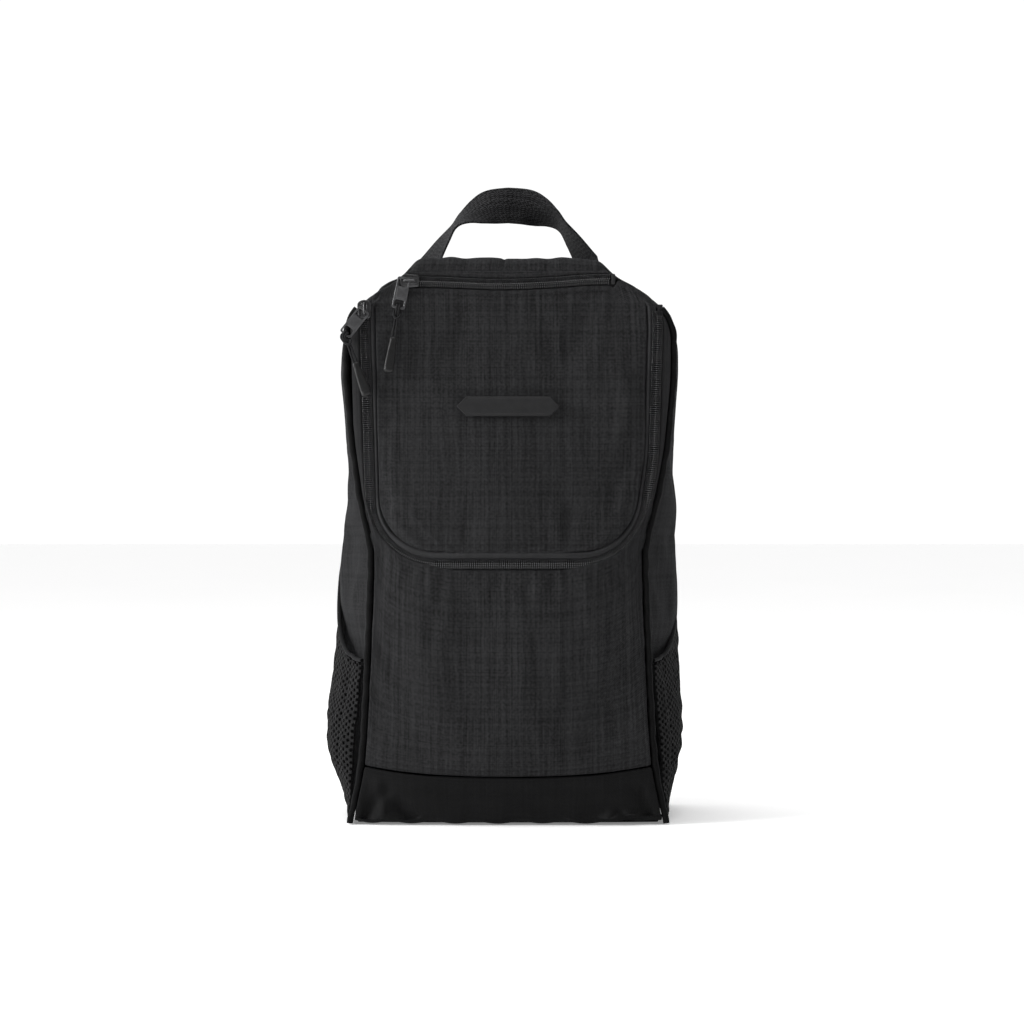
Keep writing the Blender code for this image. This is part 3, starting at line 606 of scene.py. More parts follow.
# ---------------------------------------------------------------- materials
class Tree:
    """A material's node tree, with short ways to add nodes."""

    def __init__(self, name):
        self.material = bpy.data.materials.new(name)
        self.material.use_nodes = True
        self.tree = self.material.node_tree
        self.shader = self.tree.nodes["Principled BSDF"]

    def add(self, kind, inputs, **settings):
        node = self.tree.nodes.new(kind)
        for key, value in settings.items():
            setattr(node, key, value)
        for key, value in inputs.items():
            self.put(node.inputs[key], value)
        return node

    def put(self, socket, value):
        if isinstance(value, bpy.types.NodeSocket):
            self.tree.links.new(value, socket)
        else:
            socket.default_value = value

    def math(self, operation, a, b=0.0):
        return self.add("ShaderNodeMath", {0: a, 1: b}, operation=operation).outputs[0]

    def plus(self, a, b):
        return self.math("ADD", a, b)

    def minus(self, a, b):
        return self.math("SUBTRACT", a, b)

    def times(self, a, b):
        return self.math("MULTIPLY", a, b)

    def noise(self, vector, scale, detail=2.0, rough=0.5):
        inputs = {"Vector": vector, "Scale": scale, "Detail": detail, "Roughness": rough}
        return self.add("ShaderNodeTexNoise", inputs).outputs[0]

    def ramp(self, value, stops):
        node = self.add("ShaderNodeValToRGB", {0: value})
        elements = node.color_ramp.elements
        while len(elements) < len(stops):
            elements.new(0.5)
        for element, (at, colour) in zip(elements, stops):
            element.position = at
            element.color = (*colour, 1.0)
        return node.outputs[0]

    def range(self, value, low, high, to_low, to_high):
        node = self.add("ShaderNodeMapRange", {0: value, 1: low, 2: high, 3: to_low, 4: to_high})
        return node.outputs[0]

    def uv(self):
        return self.add("ShaderNodeTexCoord", {}).outputs["UV"]

    def place(self):
        return self.add("ShaderNodeTexCoord", {}).outputs["Object"]

    def bump(self, height, distance):
        node = self.add("ShaderNodeBump", {"Height": height, "Distance": distance, "Strength": 1.0})
        self.put(self.shader.inputs["Normal"], node.outputs[0])

    def set(self, **values):
        for key, value in values.items():
            self.put(self.shader.inputs[key.replace("_", " ").title().replace("Ior", "IOR")], value)
        return self


def weave(t, u, v, pitch, step):
    """Height of woven threads: step 1 is a plain weave, 0.5 a two by two twill."""
    a, b = t.math("DIVIDE", u, pitch), t.math("DIVIDE", v, pitch)
    fa, fb = t.math("FLOOR", a), t.math("FLOOR", b)

    def thread(along, across, row, sign):
        body = t.math("ABSOLUTE", t.math("SINE", t.times(across, math.pi)))
        phase = t.math("MULTIPLY_ADD", t.plus(along, row), math.pi * step)
        phase.node.inputs[2].default_value = math.pi / 2 * (1 - step)
        wave = t.math("MULTIPLY_ADD", t.math("SINE", phase), 0.42 * sign)
        wave.node.inputs[2].default_value = 0.58
        return t.times(t.math("POWER", body, 0.7), wave)

    return t.math("MAXIMUM", thread(b, a, fa, 1.0), thread(a, b, fb, -1.0)), fa, fb


def fabric(name, pitch, low, high, roughness=0.85, depth=0.00022, step=1.0, sheen=0.25, streaks=0.5, bias=0.0,
           herring=0.0, shine=0.10, gap_shade_and_speck=1.0):
    """Woven cloth: pitch is the thread's width, bias turns the weave and herring folds it back and forth.
    streaks says how uneven the threads are. The last argument sets the painted shade in the gaps between threads, which
    makes the weave look deep, and how strong the random specks are.
    """
    t = Tree(name)
    waver = 0.00022
    uv = t.uv()
    soft = t.noise(uv, 90.0, 1.0)
    split = t.add("ShaderNodeSeparateXYZ", {0: uv})
    u, v = split.outputs[0], split.outputs[1]
    u = t.plus(u, t.times(t.minus(soft, 0.5), waver * 4))
    if bias:
        cos, sin = math.cos(bias), math.sin(bias)
        u, v = t.plus(t.times(u, cos), t.times(v, sin)), t.minus(t.times(v, cos), t.times(u, sin))
    if herring:
        v = t.plus(v, t.math("PINGPONG", u, herring))
    height, fa, fb = weave(t, u, v, pitch, step)
    warp = t.add("ShaderNodeTexWhiteNoise", {1: fa}, noise_dimensions="1D").outputs[0]
    weft = t.add("ShaderNodeTexWhiteNoise", {1: t.plus(fb, 371.0)}, noise_dimensions="1D").outputs[0]
    drift = t.times(t.minus(t.noise(uv, 30.0, 1.0), 0.5), waver * 26)
    wavy = t.add("ShaderNodeCombineXYZ", {0: t.plus(split.outputs[0], drift),
                                          1: t.times(split.outputs[1], 0.045)}).outputs[0]
    slub = t.noise(wavy, 430.0, 1.0)
    mottle = t.noise(uv, 45.0, 3.0, 0.6)
    fluff = t.noise(uv, 5200.0, 2.0, 0.7)
    speck = t.noise(uv, 620.0, 0.0)
    # Painted shade: the colour is darker where the weave is low, in the gaps between threads. The other terms are the
    # threads' own uneven tone.
    factor = t.plus(t.times(height, 1.15 * gap_shade_and_speck), 0.42 - 0.58 * gap_shade_and_speck)
    for value, amount in ((warp, 0.45 * streaks), (weft, 0.35 * streaks), (slub, 1.10 * streaks), (mottle, 0.22),
                          (fluff, 0.20), (speck, 1.00 * gap_shade_and_speck * streaks)):
        factor = t.plus(factor, t.times(t.minus(value, 0.5), amount))
    middle = tuple(0.62 * a + 0.38 * b for a, b in zip(low, high))
    t.put(t.shader.inputs["Base Color"], t.ramp(factor, ((0.0, low), (0.45, middle), (1.0, high))))
    t.put(t.shader.inputs["Roughness"], t.range(fluff, 0.2, 0.8, roughness - 0.08, min(1.0, roughness + 0.08)))
    relief = t.plus(height, t.times(fluff, 0.30))
    relief = t.plus(relief, t.times(slub, 0.25 * streaks))
    t.bump(relief, depth)
    t.set(sheen_weight=sheen, sheen_roughness=0.45, specular_ior_level=shine)
    t.shader.inputs["Sheen Tint"].default_value = (0.9, 0.92, 1.0, 1.0)
    return t.material


def knit(name, low, high, sheen=0.2):
    """Warp-knitted spacer fabric: fine loops in columns."""
    t = Tree(name)
    uv = t.uv()
    split = t.add("ShaderNodeSeparateXYZ", {0: uv})
    column = t.math("PINGPONG", t.math("DIVIDE", split.outputs[0], 0.0007), 0.5)
    rise = t.math("DIVIDE", split.outputs[1], 0.0009)
    loop = t.math("PINGPONG", t.plus(rise, column), 0.5)
    height = t.times(t.plus(t.math("SINE", t.times(loop, 2 * math.pi)), column), 0.7)
    fluff = t.noise(uv, 4200.0, 2.0, 0.7)
    mottle = t.noise(uv, 60.0, 3.0)
    # Painted shade: the colour is darker where the knitted loops are low. The mottle and fluff are the cloth's own
    # uneven tone.
    factor = t.plus(t.times(height, 0.55), t.times(mottle, 0.35))
    factor = t.plus(factor, t.times(t.minus(fluff, 0.5), 0.25))
    t.put(t.shader.inputs["Base Color"], t.ramp(factor, ((0.15, low), (0.9, high))))
    t.put(t.shader.inputs["Roughness"], t.range(fluff, 0.2, 0.8, 0.72, 0.95))
    t.bump(t.plus(height, t.times(fluff, 0.3)), 0.00018)
    t.set(sheen_weight=sheen, sheen_roughness=0.4, specular_ior_level=0.10)
    return t.material


def moulded(name, low, high, roughness, grain=0.00004, grain_scale=2600.0, metallic=0.0, coat=0.0, edge=0.0,
            spread=0.10, shine=0.5):
    """Plastic, rubber or painted metal: fine grain, uneven gloss and worn edges."""
    t = Tree(name)
    at = t.place()
    grainy = t.noise(at, grain_scale, 3.0, 0.6)
    cloudy = t.noise(at, 240.0, 3.0, 0.6)
    factor = t.plus(t.times(grainy, 0.4), t.times(cloudy, 0.6))
    if edge:
        worn = t.range(t.add("ShaderNodeNewGeometry", {}).outputs["Pointiness"], 0.50, 0.62, 0.0, edge)
        factor = t.plus(factor, worn)
    t.put(t.shader.inputs["Base Color"], t.ramp(factor, ((0.25, low), (0.75, high))))
    half = spread / 2
    t.put(t.shader.inputs["Roughness"], t.range(cloudy, 0.3, 0.7, roughness - half, roughness + half))
    t.bump(grainy, grain)
    t.set(metallic=metallic, coat_weight=coat, coat_roughness=0.25, specular_ior_level=shine)
    return t.material


def grey(value):
    """A grey that is very slightly blue."""
    return (value, value, value * 1.04)


TWILL = fabric("twill", 0.00054, grey(0.0003), grey(0.0390), step=0.5, sheen=0.03, shine=0.06)
# A slightly lighter copy of the twill for the top panel and the fold tape: painted light, where these face up into the
# light.
TWILL_PAINTED_LIGHT = fabric("twill_painted_light_top", 0.00054, grey(0.0004), grey(0.0400), step=0.5, sheen=0.03, shine=0.06)
BAND = fabric("smooth_twill", 0.00080, grey(0.0006), grey(0.0110), 0.66, 0.00010, 0.5, 0.02, 0.25, shine=0.08,
              gap_shade_and_speck=0.6)
GUSSET = fabric("gusset_twill", 0.00060, grey(0.0007), grey(0.0285), 0.85, 0.00015, 0.5, 0.02, 0.5,
                shine=0.03)
MESH = knit("spacer_mesh", grey(0.0014), grey(0.0150), 0.03)
BINDING = fabric("binding", 0.00060, grey(0.0014), grey(0.0110), 0.8, 0.00012, 1.0, 0.03, 0.3)
PIPING = fabric("piping", 0.00080, grey(0.0005), grey(0.0078), 0.70, 0.00014, 0.5, 0.02, 0.4, bias=0.785,
                shine=0.06)
TAPE = fabric("zip_tape", 0.00055, grey(0.0020), grey(0.0330), 0.70, 0.00008, 0.5, 0.05, 0.25, herring=0.0025,
              gap_shade_and_speck=0.6)
# A lighter copy of the zip tape for the door's inner band: painted light, where the band's rounded fold catches the
# light.
TAPE_PAINTED_LIGHT = fabric("zip_tape_painted_light", 0.00080, grey(0.0030), grey(0.0520), 0.70, 0.00008, 0.5, 0.05, 0.25,
                gap_shade_and_speck=0.5)
COIL = moulded("nylon_coil", grey(0.0030), grey(0.0560), 0.16, 0.00003, 3000.0, spread=0.08, shine=1.0)
THREAD = fabric("thread", 0.00022, grey(0.003), grey(0.012), 0.6, 0.00004, 0.5, 0.10, 0.2, bias=0.6)
WEBBING = fabric("webbing", 0.00140, grey(0.0006), grey(0.0340), 0.68, 0.00034, 0.5, 0.02, 0.4, herring=0.0048,
                 shine=0.05)
METAL = moulded("gunmetal", grey(0.020), grey(0.055), 0.30, 0.00002, 1800.0, 0.60, 0.35, 0.5)
SATIN = moulded("painted_tab", grey(0.040), grey(0.090), 0.32, 0.00002, 1600.0, 0.45, 0.2, 0.6)
CORD = fabric("pull_cord", 0.00050, grey(0.003), grey(0.020), 0.7, 0.00012, 1.0, 0.06, 0.2, bias=0.785)
RUBBER = moulded("grip_rubber", grey(0.0024), grey(0.0050), 0.46, 0.00005, 2400.0, shine=0.35)
LINING = fabric("lining", 0.00050, grey(0.0030), grey(0.0240), 0.6, 0.00006, 1.0, 0.10, 0.3,
                gap_shade_and_speck=0.6)
FILM = moulded("print_film", grey(0.0130), grey(0.0190), 0.50, 0.00003, 1500.0, shine=0.20)
STOP = moulded("zip_stop", grey(0.006), grey(0.014), 0.45, 0.00003, 1800.0, shine=0.3)


# ---------------------------------------------------------------- the zip
def zip_path(top):
    """The door zip's middle line, top left to top right: rows of x, z, outward x, outward z."""
    corner_x = ZIP_CORNER_X - ZIP_CORNER_A
    turn = np.linspace(0, np.pi / 2, 80)
    low = np.stack([np.linspace(0, corner_x, 30), np.full(30, ZIP_CORNER_Z - ZIP_CORNER_B)], 1)
    corner = np.stack([corner_x + ZIP_CORNER_A * np.sin(turn), ZIP_CORNER_Z - ZIP_CORNER_B * np.cos(turn)], 1)
    z = np.linspace(ZIP_CORNER_Z, top, 60)
    side = np.stack([ZIP_CORNER_X + LEAN * (z - ZIP_CORNER_Z), z], 1)
    right = np.concatenate([low, corner[1:], side[1:]])
    left = right[:0:-1] * [-1, 1]
    right[:, 0] += zip_lean(right[:, 1])
    line = resample(np.concatenate([left, right]), ZIP_SPACING)
    along = unit(np.gradient(line, axis=0))
    return np.concatenate([line, along[:, [1]], -along[:, [0]]], 1)


def zip_place(stations, d, lift, along=0.0):
    """Points d metres to the outward side of the zip's line and lift in front of the skin."""
    x, z, nx, nz = (stations[..., k] for k in range(4))
    px, pz = x + nx * d - nz * along, z + nz * d + nx * along
    y = skin_y(px, pz) - lift
    level = smooth(ZIP_CORNER_Z - 0.015, ZIP_CORNER_Z + 0.005, z)
    y = y + (skin_y(x, z) - lift - y) * level
    return np.stack(np.broadcast_arrays(px, y, pz), -1)


TOOTH_D = np.array([-0.00034, -0.00018, 0.00030, 0.00090, 0.00170, 0.00260, 0.00330, 0.00352])
TOOTH_HALF = np.array([0.00014, 0.00036, 0.00043, 0.00035, 0.00034, 0.00036, 0.00034, 0.00016])
TOOTH_TOP = np.array([0.00150, 0.00195, 0.00220, 0.00205, 0.00200, 0.00200, 0.00180, 0.00120])
TOOTH_LOW = np.array([0.00110, 0.00075, 0.00062, 0.00062, 0.00062, 0.00062, 0.00070, 0.00100])
TOOTH_PITCH = 0.0014
ZIP_SPACING = 0.0012


def stations_at(stations, distances):
    """The zip's line at given distances along it."""
    arc = arc_of(stations[:, :2])
    return np.stack([np.interp(distances, arc, stations[:, k]) for k in range(4)], 1)


def teeth(name, stations, sign, shift, body, replaces, place=zip_place):
    """One row of coil teeth, each a rounded bar with a wider head that reaches past the zip's middle."""
    length = arc_of(stations[:, :2])[-1]
    at = np.arange(TOOTH_PITCH * (0.5 + shift), length - TOOTH_PITCH * 0.5, TOOTH_PITCH)
    here = stations_at(stations, at)[:, None, None, :] * [1, 1, sign, sign]
    ring = np.array([(-1, 0.45), (-0.62, 1.0), (0.62, 1.0), (1, 0.45), (0.62, 0.0), (-0.62, 0.0)])
    sideways = TOOTH_HALF[:, None] * ring[None, :, 0]
    lift = TOOTH_LOW[:, None] + (TOOTH_TOP - TOOTH_LOW)[:, None] * ring[None, :, 1]
    points = place(here, TOOTH_D[None, :, None], lift[None], sideways[None])
    count, sections, sides = points.shape[:3]
    last = (sections - 1) * sides + np.array([[0, 1, 2, 3], [0, 3, 4, 5]])
    one = np.concatenate([ring_quads(sections, sides), [[3, 2, 1, 0], [5, 4, 3, 0]], last])
    if sign < 0:
        one = one[:, ::-1]
    per = sections * sides
    faces = (one[None] + np.arange(count)[:, None, None] * per).reshape(-1, 4)
    uv = np.stack(np.broadcast_arrays(TOOTH_D[None, :, None], at[:, None, None] + sideways[None]), -1)
    return make(name, points.reshape(-1, 3), faces, uv.reshape(-1, 2), COIL, "nylon_coil", body, replaces, 60)


def coil_thread(name, stations, sign, shift, body, place=zip_place):
    """The two sewing threads that run over a row of teeth and down between them."""
    at = np.arange(TOOTH_PITCH, arc_of(stations[:, :2])[-1] - TOOTH_PITCH, TOOTH_PITCH / 4)
    here = stations_at(stations, at) * [1, 1, sign, sign]
    beat = 2 * np.pi * (at / TOOTH_PITCH - 0.5 - shift)
    lift = 0.00192 + 0.00022 * np.cos(beat)
    parts = []
    for d in (0.00205, 0.00295):
        parts.append(tube_data(place(here, d + 0.00006 * np.sin(beat), lift), 0.00016, sides=5))
    return make(name, *together(parts), THREAD, "nylon_coil", body)


def make_door_zip():
    line = zip_path(ZIP_TOP_Z)
    outer = zip_path(ZIP_TOP_Z - 0.0035)
    teeth("door_zip_teeth_inner", line, -1.0, 0.5, "door", ["door_zip_coil_inner"])
    teeth("door_zip_teeth_outer", outer, 1.0, 0.0, "bag", ["door_zip_coil_outer"])
    coil_thread("door_zip_thread_inner", line, -1.0, 0.5, "door")
    coil_thread("door_zip_thread_outer", outer, 1.0, 0.0, "bag")
    # The inner band goes on over the shoulders, past the last teeth.
    over = np.array([(0.0953, 0.3446), (0.0938, 0.3478), (0.0912, 0.3507), (0.0882, 0.3531)])
    right = over + np.stack([zip_lean(over[:, 1]), 0 * over[:, 1]], 1)
    whole = rounded(np.concatenate([over[::-1] * [-1, 1], line[::8, :2], right]), ZIP_SPACING)
    along = unit(np.gradient(whole, axis=0))
    inside = np.concatenate([whole, -along[:, [1]], along[:, [0]]], 1)
    d = np.array([0.68, 1.8, 3.3, 3.5, 3.9, 4.5, 5.2, 5.8, 6.3, 6.7, 7.2, 9.4]) * MM
    lift = np.array([0.0, 0.0, 0.1, 0.7, 1.5, 2.0, 2.1, 1.6, 0.8, -0.2, -0.6, -0.6]) * MM
    # Across the bottom the band's rolled fold is wider and laps over the teeth.
    low = (1 - smooth(0.178, 0.196, inside[:, 1]))[:, None]
    folded = (d > 0.0034) & (d < 0.0070)
    d = d[None] + low * folded * (0.0011 * (d[None] - 0.0042) / 0.0020)
    lift = lift[None] * (1 + 0.35 * low)
    # The inner band wears the lighter copy of the tape: painted light on its rounded fold.
    band("door_zip_band", zip_place(inside[:, None, :], d, lift), TAPE_PAINTED_LIGHT, "door", ["door_zip_tape_inner"])

    # The outer band reaches the piping where there is little room, and its own width elsewhere.
    outer = zip_path(ZIP_TOP_Z + 0.0030)
    room = np.maximum(0.0036, read(FRONT_EDGE, outer[:, 1]) - PIPE_R - GAP - np.abs(outer[:, 0]))
    under, width = 0.0034, 0.0095
    reach = np.where(outer[:, 1] > ZIP_CORNER_Z - 0.02, np.minimum(width, room), width)
    d = np.array([0.68, 1.8, 3.4, 3.8, 4.3, 5.0, 6.0, 7.2, 9.5]) * MM
    lift = np.array([0.0, 0.02, 0.1, 0.45, 0.8, 1.0, 0.9, 0.6, 0.2]) * MM
    share = np.maximum(0.0, d - under) / (width - under)
    spread = np.minimum(d, under) + share * (reach[:, None] - under)
    points = zip_place(outer[:, None, :], spread, lift[None])
    band("bag_zip_band", points, TAPE, "bag", ["door_zip_tape_outer"])


# ---------------------------------------------------------------- panels of the bag
def pocket_dip(x):
    """How far the pocket zip strays from level."""
    x = np.asarray(x, float)
    return 0.0014 * smooth(0.026, 0.062, x) - 0.0020 * bell(x + 0.006, 0.036)


def make_lower_panel():
    columns = np.linspace(-1, 1, 121)
    edge_roll = 0.0011
    inset = PIPE_R + GAP + edge_roll

    def lip(x):
        """How far below the zip's line the panel's rolled edge begins."""
        corner = smooth(0.028, 0.062, np.abs(x))
        return 0.0041 - 0.0036 * corner + edge_roll

    def top_of(u):
        z = np.full_like(u, 0.18)
        for _ in range(60):
            x = u * (read(FRONT_EDGE, z) - inset)
            over = np.maximum(0.0, np.abs(x) - (ZIP_CORNER_X - ZIP_CORNER_A)) / (ZIP_CORNER_A + lip(x))
            edge = ZIP_CORNER_Z - (ZIP_CORNER_B + lip(x)) * np.sqrt(np.maximum(0.0, 1 - over**2))
            z = 0.5 * z + 0.5 * edge
        return z

    share = np.concatenate([np.linspace(0, 0.85, 78), np.linspace(0.85, 1, 24)[1:]])[:, None]
    low = band_seam_z(columns * 0.095) + 0.0002 + edge_roll
    top = top_of(columns)
    z = low + (top - low) * share
    x = columns * (read(FRONT_EDGE, z) - inset)
    near_zip = smooth(0.86, 0.99, share) * smooth(0.036, 0.056, np.abs(x))
    points = front(x, z, COVER_LIFT + 0.0016 * near_zip)
    body = smooth(0.0, 0.12, share) * (1 - smooth(0.93, 1.0, share))
    body = body * (1 - smooth(0.90, 1.0, np.abs(columns)))
    wave = 0.00080 * ripple(x, z * 0.45, 0.06, 3) + 0.00010 * ripple(x * 1.2, z, 0.026, 8)
    # Small gathers radiate from the zip's seam, deepest at the corners.
    turn = np.arctan2(z - 0.215, np.abs(x) - 0.046) * 26 + 3 * np.sin(x * 37)
    gathers = smooth(0.80, 0.95, share) * (0.35 + smooth(0.030, 0.060, np.abs(x)))
    wave = wave + 0.00034 * np.sin(turn) * gathers + creases(x, z, (
        (-84, 198, -70, 180, 3.5, 1.8), (-80, 186, -56, 166, 4.0, 1.5), (84, 196, 66, 172, 3.5, 1.7),
        (78, 186, 48, 160, 4.5, 1.5), (20, 167, 8, 150, 6.0, 1.2), (-45, 165, -52, 120, 7.0, 1.3),
        (56, 120, 76, 98, 8.0, -1.4), (70, 160, 74, 100, 7.0, 1.2),
    ))
    points[..., 1] -= wave * body - 0.0010 * bell(z - low, 0.0022)
    points = settled(points, (36, 44), fullness=0.004, cap=0.0016)
    sheet("front_panel", points, TO_FRONT, TWILL, "twill", "bag", ["front_lower_panel"], roll=edge_roll,
          tuck=0.001)


def make_band():
    columns = np.linspace(-1, 1, 121)
    roll = 0.0009
    inset = PIPE_R + GAP + roll
    turn_r = 0.0040 + 0.0010 * np.sin(columns * 9.0) + 0.0008 * np.sin(columns * 23.0 + 1.0)
    foot = 0.0004 + 0.0010 * smooth(0.84, 1.0, np.abs(columns)) + 0.0012 * np.sin(columns * 11 + 0.6) ** 2
    foot = foot + 0.0020 * bell(columns - 0.78, 0.07)
    rows = []
    for a in (90, 72, 54, 36, 18):
        lean = math.radians(a)
        z = foot + turn_r * (1 - math.sin(lean))
        x = columns * (read(FRONT_EDGE, z) - inset)
        p = front(x, z, COVER_LIFT)
        p[:, 1] += turn_r * (1 - math.cos(lean))
        rows.append(p)
    top = band_seam_z(columns * 0.095) - 0.0002 - roll
    for share in np.linspace(0, 1, 30):
        z = (foot + turn_r) * (1 - share) + top * share
        x = columns * (read(FRONT_EDGE, z) - inset)
        body = math.sin(math.pi * share) ** 0.8
        wave = 0.0006 * ripple(x, z * 0.8, 0.040, 21) * body + creases(x, z, (
            (-102, -4, -76, 30, 5.0, 3.4), (-86, 34, -82, -4, 4.2, -2.6), (-78, 20, -56, -3, 4.5, 3.0),
            (52, -6, 74, 10, 3.4, -5.2), (74, 10, 98, -6, 3.4, -4.8), (83, 30, 97, -2, 4.0, 2.8),
            (10, 1, 52, 5, 3.0, -1.4), (-54, 4, -20, 0, 3.2, -1.4), (62, 3, 88, 3, 3.0, 2.2),
        ))
        rows.append(front(x, z, COVER_LIFT + 0.0009 * body + wave * (1 - smooth(0.94, 1, np.abs(columns)))))
    sheet("base_band_cloth", np.array(rows), TO_FRONT, BAND, "smooth_twill", "bag", ["base_band"], roll=roll,
          tuck=0.003)


def top_z(x):
    return read(TOP_LINE, np.abs(x))


def make_top_panel():
    x = np.linspace(-0.0994, 0.0994, 161)
    top = top_z(x)
    start = np.minimum(FOLD_Z + 0.0008, top - 0.002)
    start = start + (0.3385 - start) * smooth(0.0835, 0.0880, np.abs(x))
    radius = top - start
    first, second = SHOULDER_STEPS
    y = skin_y(x, start) + first * smooth(0.060, 0.065, np.abs(x)) + second * smooth(0.083, 0.090, np.abs(x))
    rows = []
    for a in np.radians(np.linspace(0, 90, 14)):
        rows.append(np.stack([x, y + radius * (1 - math.cos(a)), start + radius * math.sin(a)], -1))
    back = BACK_Y - 0.0012
    for share in np.linspace(0, 1, 40)[1:]:
        sag = 0.0018 * math.sin(math.pi * share) * (1 - smooth(0.03, 0.06, np.abs(x)))
        lift = 0.0004 * ripple(x, share * 0.1, 0.03, 31) * math.sin(math.pi * share)
        rows.append(np.stack([x, y + radius + (back - y - radius) * share, top - sag + lift * 0.8], -1))
    points = np.array(rows)
    normals = grid_normals(points, (0, -0.3, 1))
    # The strip above the zip puffs out between a short seam at its middle and the seam at its upper edge.
    row = np.arange(len(points))[:, None]
    strip = smooth(-1, 6, row) * (1 - smooth(9, 14, row))
    puff = 0.0011 + 0.00045 * ripple(points[..., 0], points[..., 2], 0.022, 33)
    seam = 0.0014 * bell(points[..., 0] + 0.0033 - (points[..., 2] - 0.37) * 0.12, 0.0011)
    points = points + normals * ((puff - seam) * strip - 0.0008 * bell(row - 14.0, 0.8))[..., None]
    sheet("top_panel_cloth", points, (0, -0.3, 1), TWILL_PAINTED_LIGHT, "twill", "bag", ["top_panel"], 0.0009, 0.0009)
    line = points[15] + normals[15] * 0.0001
    keep = np.abs(line[:, 0]) < 0.062
    stitches("top_seam_stitches", line[keep] + [0, 0.0022, 0], (0, 0, 1), "bag")


def make_back_and_bottom():
    roll = 0.0016
    rows = []
    heights = np.concatenate([np.linspace(0.0018, SHOULDER_Z, 90), np.linspace(SHOULDER_Z, 0.3744, 22)[1:]])
    columns = np.linspace(-1, 1, 81)
    for z in heights:
        x = columns * (float(back_edge(z)) - roll)
        puff = 0.0016 * (1 - np.abs(columns) ** 4) * smooth(0.0, 0.03, z) * (1 - smooth(0.34, 0.374, z))
        wave = 0.0005 * ripple(x, z * 0.6, 0.06, 41) * (1 - np.abs(columns) ** 6)
        rows.append(np.stack([x, 0.0662 + puff + wave, np.full_like(x, z)], -1))
    points = settled(np.array(rows), (40, 34), fullness=0.004, cap=0.0014)
    sheet("back_panel_cloth", points, (0, 1, 0), TWILL, "twill", "bag", ["back_panel"], 0.0018, roll)
    seam_row = np.argmin(np.abs(heights - 0.0415))
    stitches("back_stitches", points[seam_row], (0, 1, 0), "bag")

    rows = []
    y_front = skin_y(columns * 0.0995, 0.0) + 0.0024
    for share in np.linspace(0, 1, 40):
        y = y_front + (BACK_Y - 0.002 - y_front) * share
        x = columns * (0.0990 + 0.0018 * math.sin(math.pi * share))
        sag = (1 - np.abs(columns) ** 4) * math.sin(math.pi * share)
        rows.append(np.stack([x, y, 0.0003 + 0.0008 * (1 - sag)], -1))
    sheet("bottom_panel_cloth", np.array(rows), (0, 0, -1), BAND, "twill", "bag", ["bottom_panel"], 0.0010, 0.0010)


def mirror(points, side):
    return points * [side, 1, 1]


def hex_mesh(side, slack):
    """The perforated pocket cloth: round holes in a staggered pattern, cut through a thick knitted cloth."""
    pitch, hole, width, sides = 0.0042, 0.00122, 0.113, 12
    column = pitch * math.sqrt(3) / 2
    angles = 2 * np.pi / sides * np.arange(sides)
    reach = np.where(np.arange(sides) % 2 == 0, pitch / math.sqrt(3), pitch / 2)
    cells = []
    for i in range(int(width / column) + 2):
        for j in range(int(0.19 / pitch) + 2):
            cu, cv = i * column, POCKET_FOOT_Z + (j + 0.5 * (i % 2)) * pitch
            depth = cu / width
            if 0.028 < depth < 0.972 and POCKET_FOOT_Z < cv < float(hem_z(depth)) - 0.0012:
                cells.append((cu, cv))
    cells = np.array(cells)
    # From the cell's edge on the outer face, down through the hole, and back out on the inner face.
    profile = ((reach, 0.0), (hole * 1.34, 0.00012), (hole * 1.10, -0.00008), (hole, -0.00045),
               (hole, -MESH_T + 0.0001), (reach, -MESH_T))
    small = 0.0005
    verts, uv = [], []
    for radius, lift in profile:
        flat = np.stack([cells[:, None, 0] + radius * np.cos(angles), cells[:, None, 1] + radius * np.sin(angles)], -1)
        depth = np.clip(flat[..., 0] / width, 0.022, 0.978)
        z = np.clip(flat[..., 1], POCKET_FOOT_Z - 0.0010, hem_z(depth) - 0.0002)
        place = mesh_surface(depth, z, slack)
        du = mesh_surface(np.clip(depth + 0.004, 0, 1), z, slack) - mesh_surface(np.clip(depth - 0.004, 0, 1), z, slack)
        dv = mesh_surface(depth, z + small, slack) - mesh_surface(depth, z - small, slack)
        normal = unit(np.cross(du, dv))
        normal = normal * np.sign((normal[..., [0]]))
        uneven = 0.00035 * ripple(place[..., 1], place[..., 2], 0.016, 50 + side)[..., None]
        verts.append(place + normal * (lift + uneven))
        uv.append(flat)
    verts = np.stack(verts, 1).reshape(-1, 3)
    uv = np.stack(uv, 1).reshape(-1, 2)
    count, per = len(cells), len(profile) * sides
    one = ring_quads(len(profile), sides)
    faces = (one[None] + np.arange(count)[:, None, None] * per).reshape(-1, 4)
    # Cells share the points on their common edges.
    key = np.round(verts * 1e6).astype(np.int64)
    _, first, back = np.unique(key, axis=0, return_index=True, return_inverse=True)
    back = back.ravel()
    faces = back[faces].tolist()
    # Where a cell has no neighbour, a wall joins the cloth's outer face to its inner one.
    start = np.arange(count)[:, None] * per
    outer = back[start + np.arange(sides)].tolist()
    inner = back[start + per - sides + np.arange(sides)].tolist()
    seen = Counter(frozenset(edge) for ring in outer for edge in zip(ring, ring[1:] + ring[:1]))
    for ring, under in zip(outer, inner):
        for k in range(sides):
            n = (k + 1) % sides
            if seen[frozenset((ring[k], ring[n]))] == 1:
                faces.append([ring[n], ring[k], under[k], under[n]])
    # Points that came together leave some faces with fewer corners.
    faces = [list(dict.fromkeys(f)) for f in faces]
    return verts[first], [f for f in faces if len(f) > 2], uv[first]


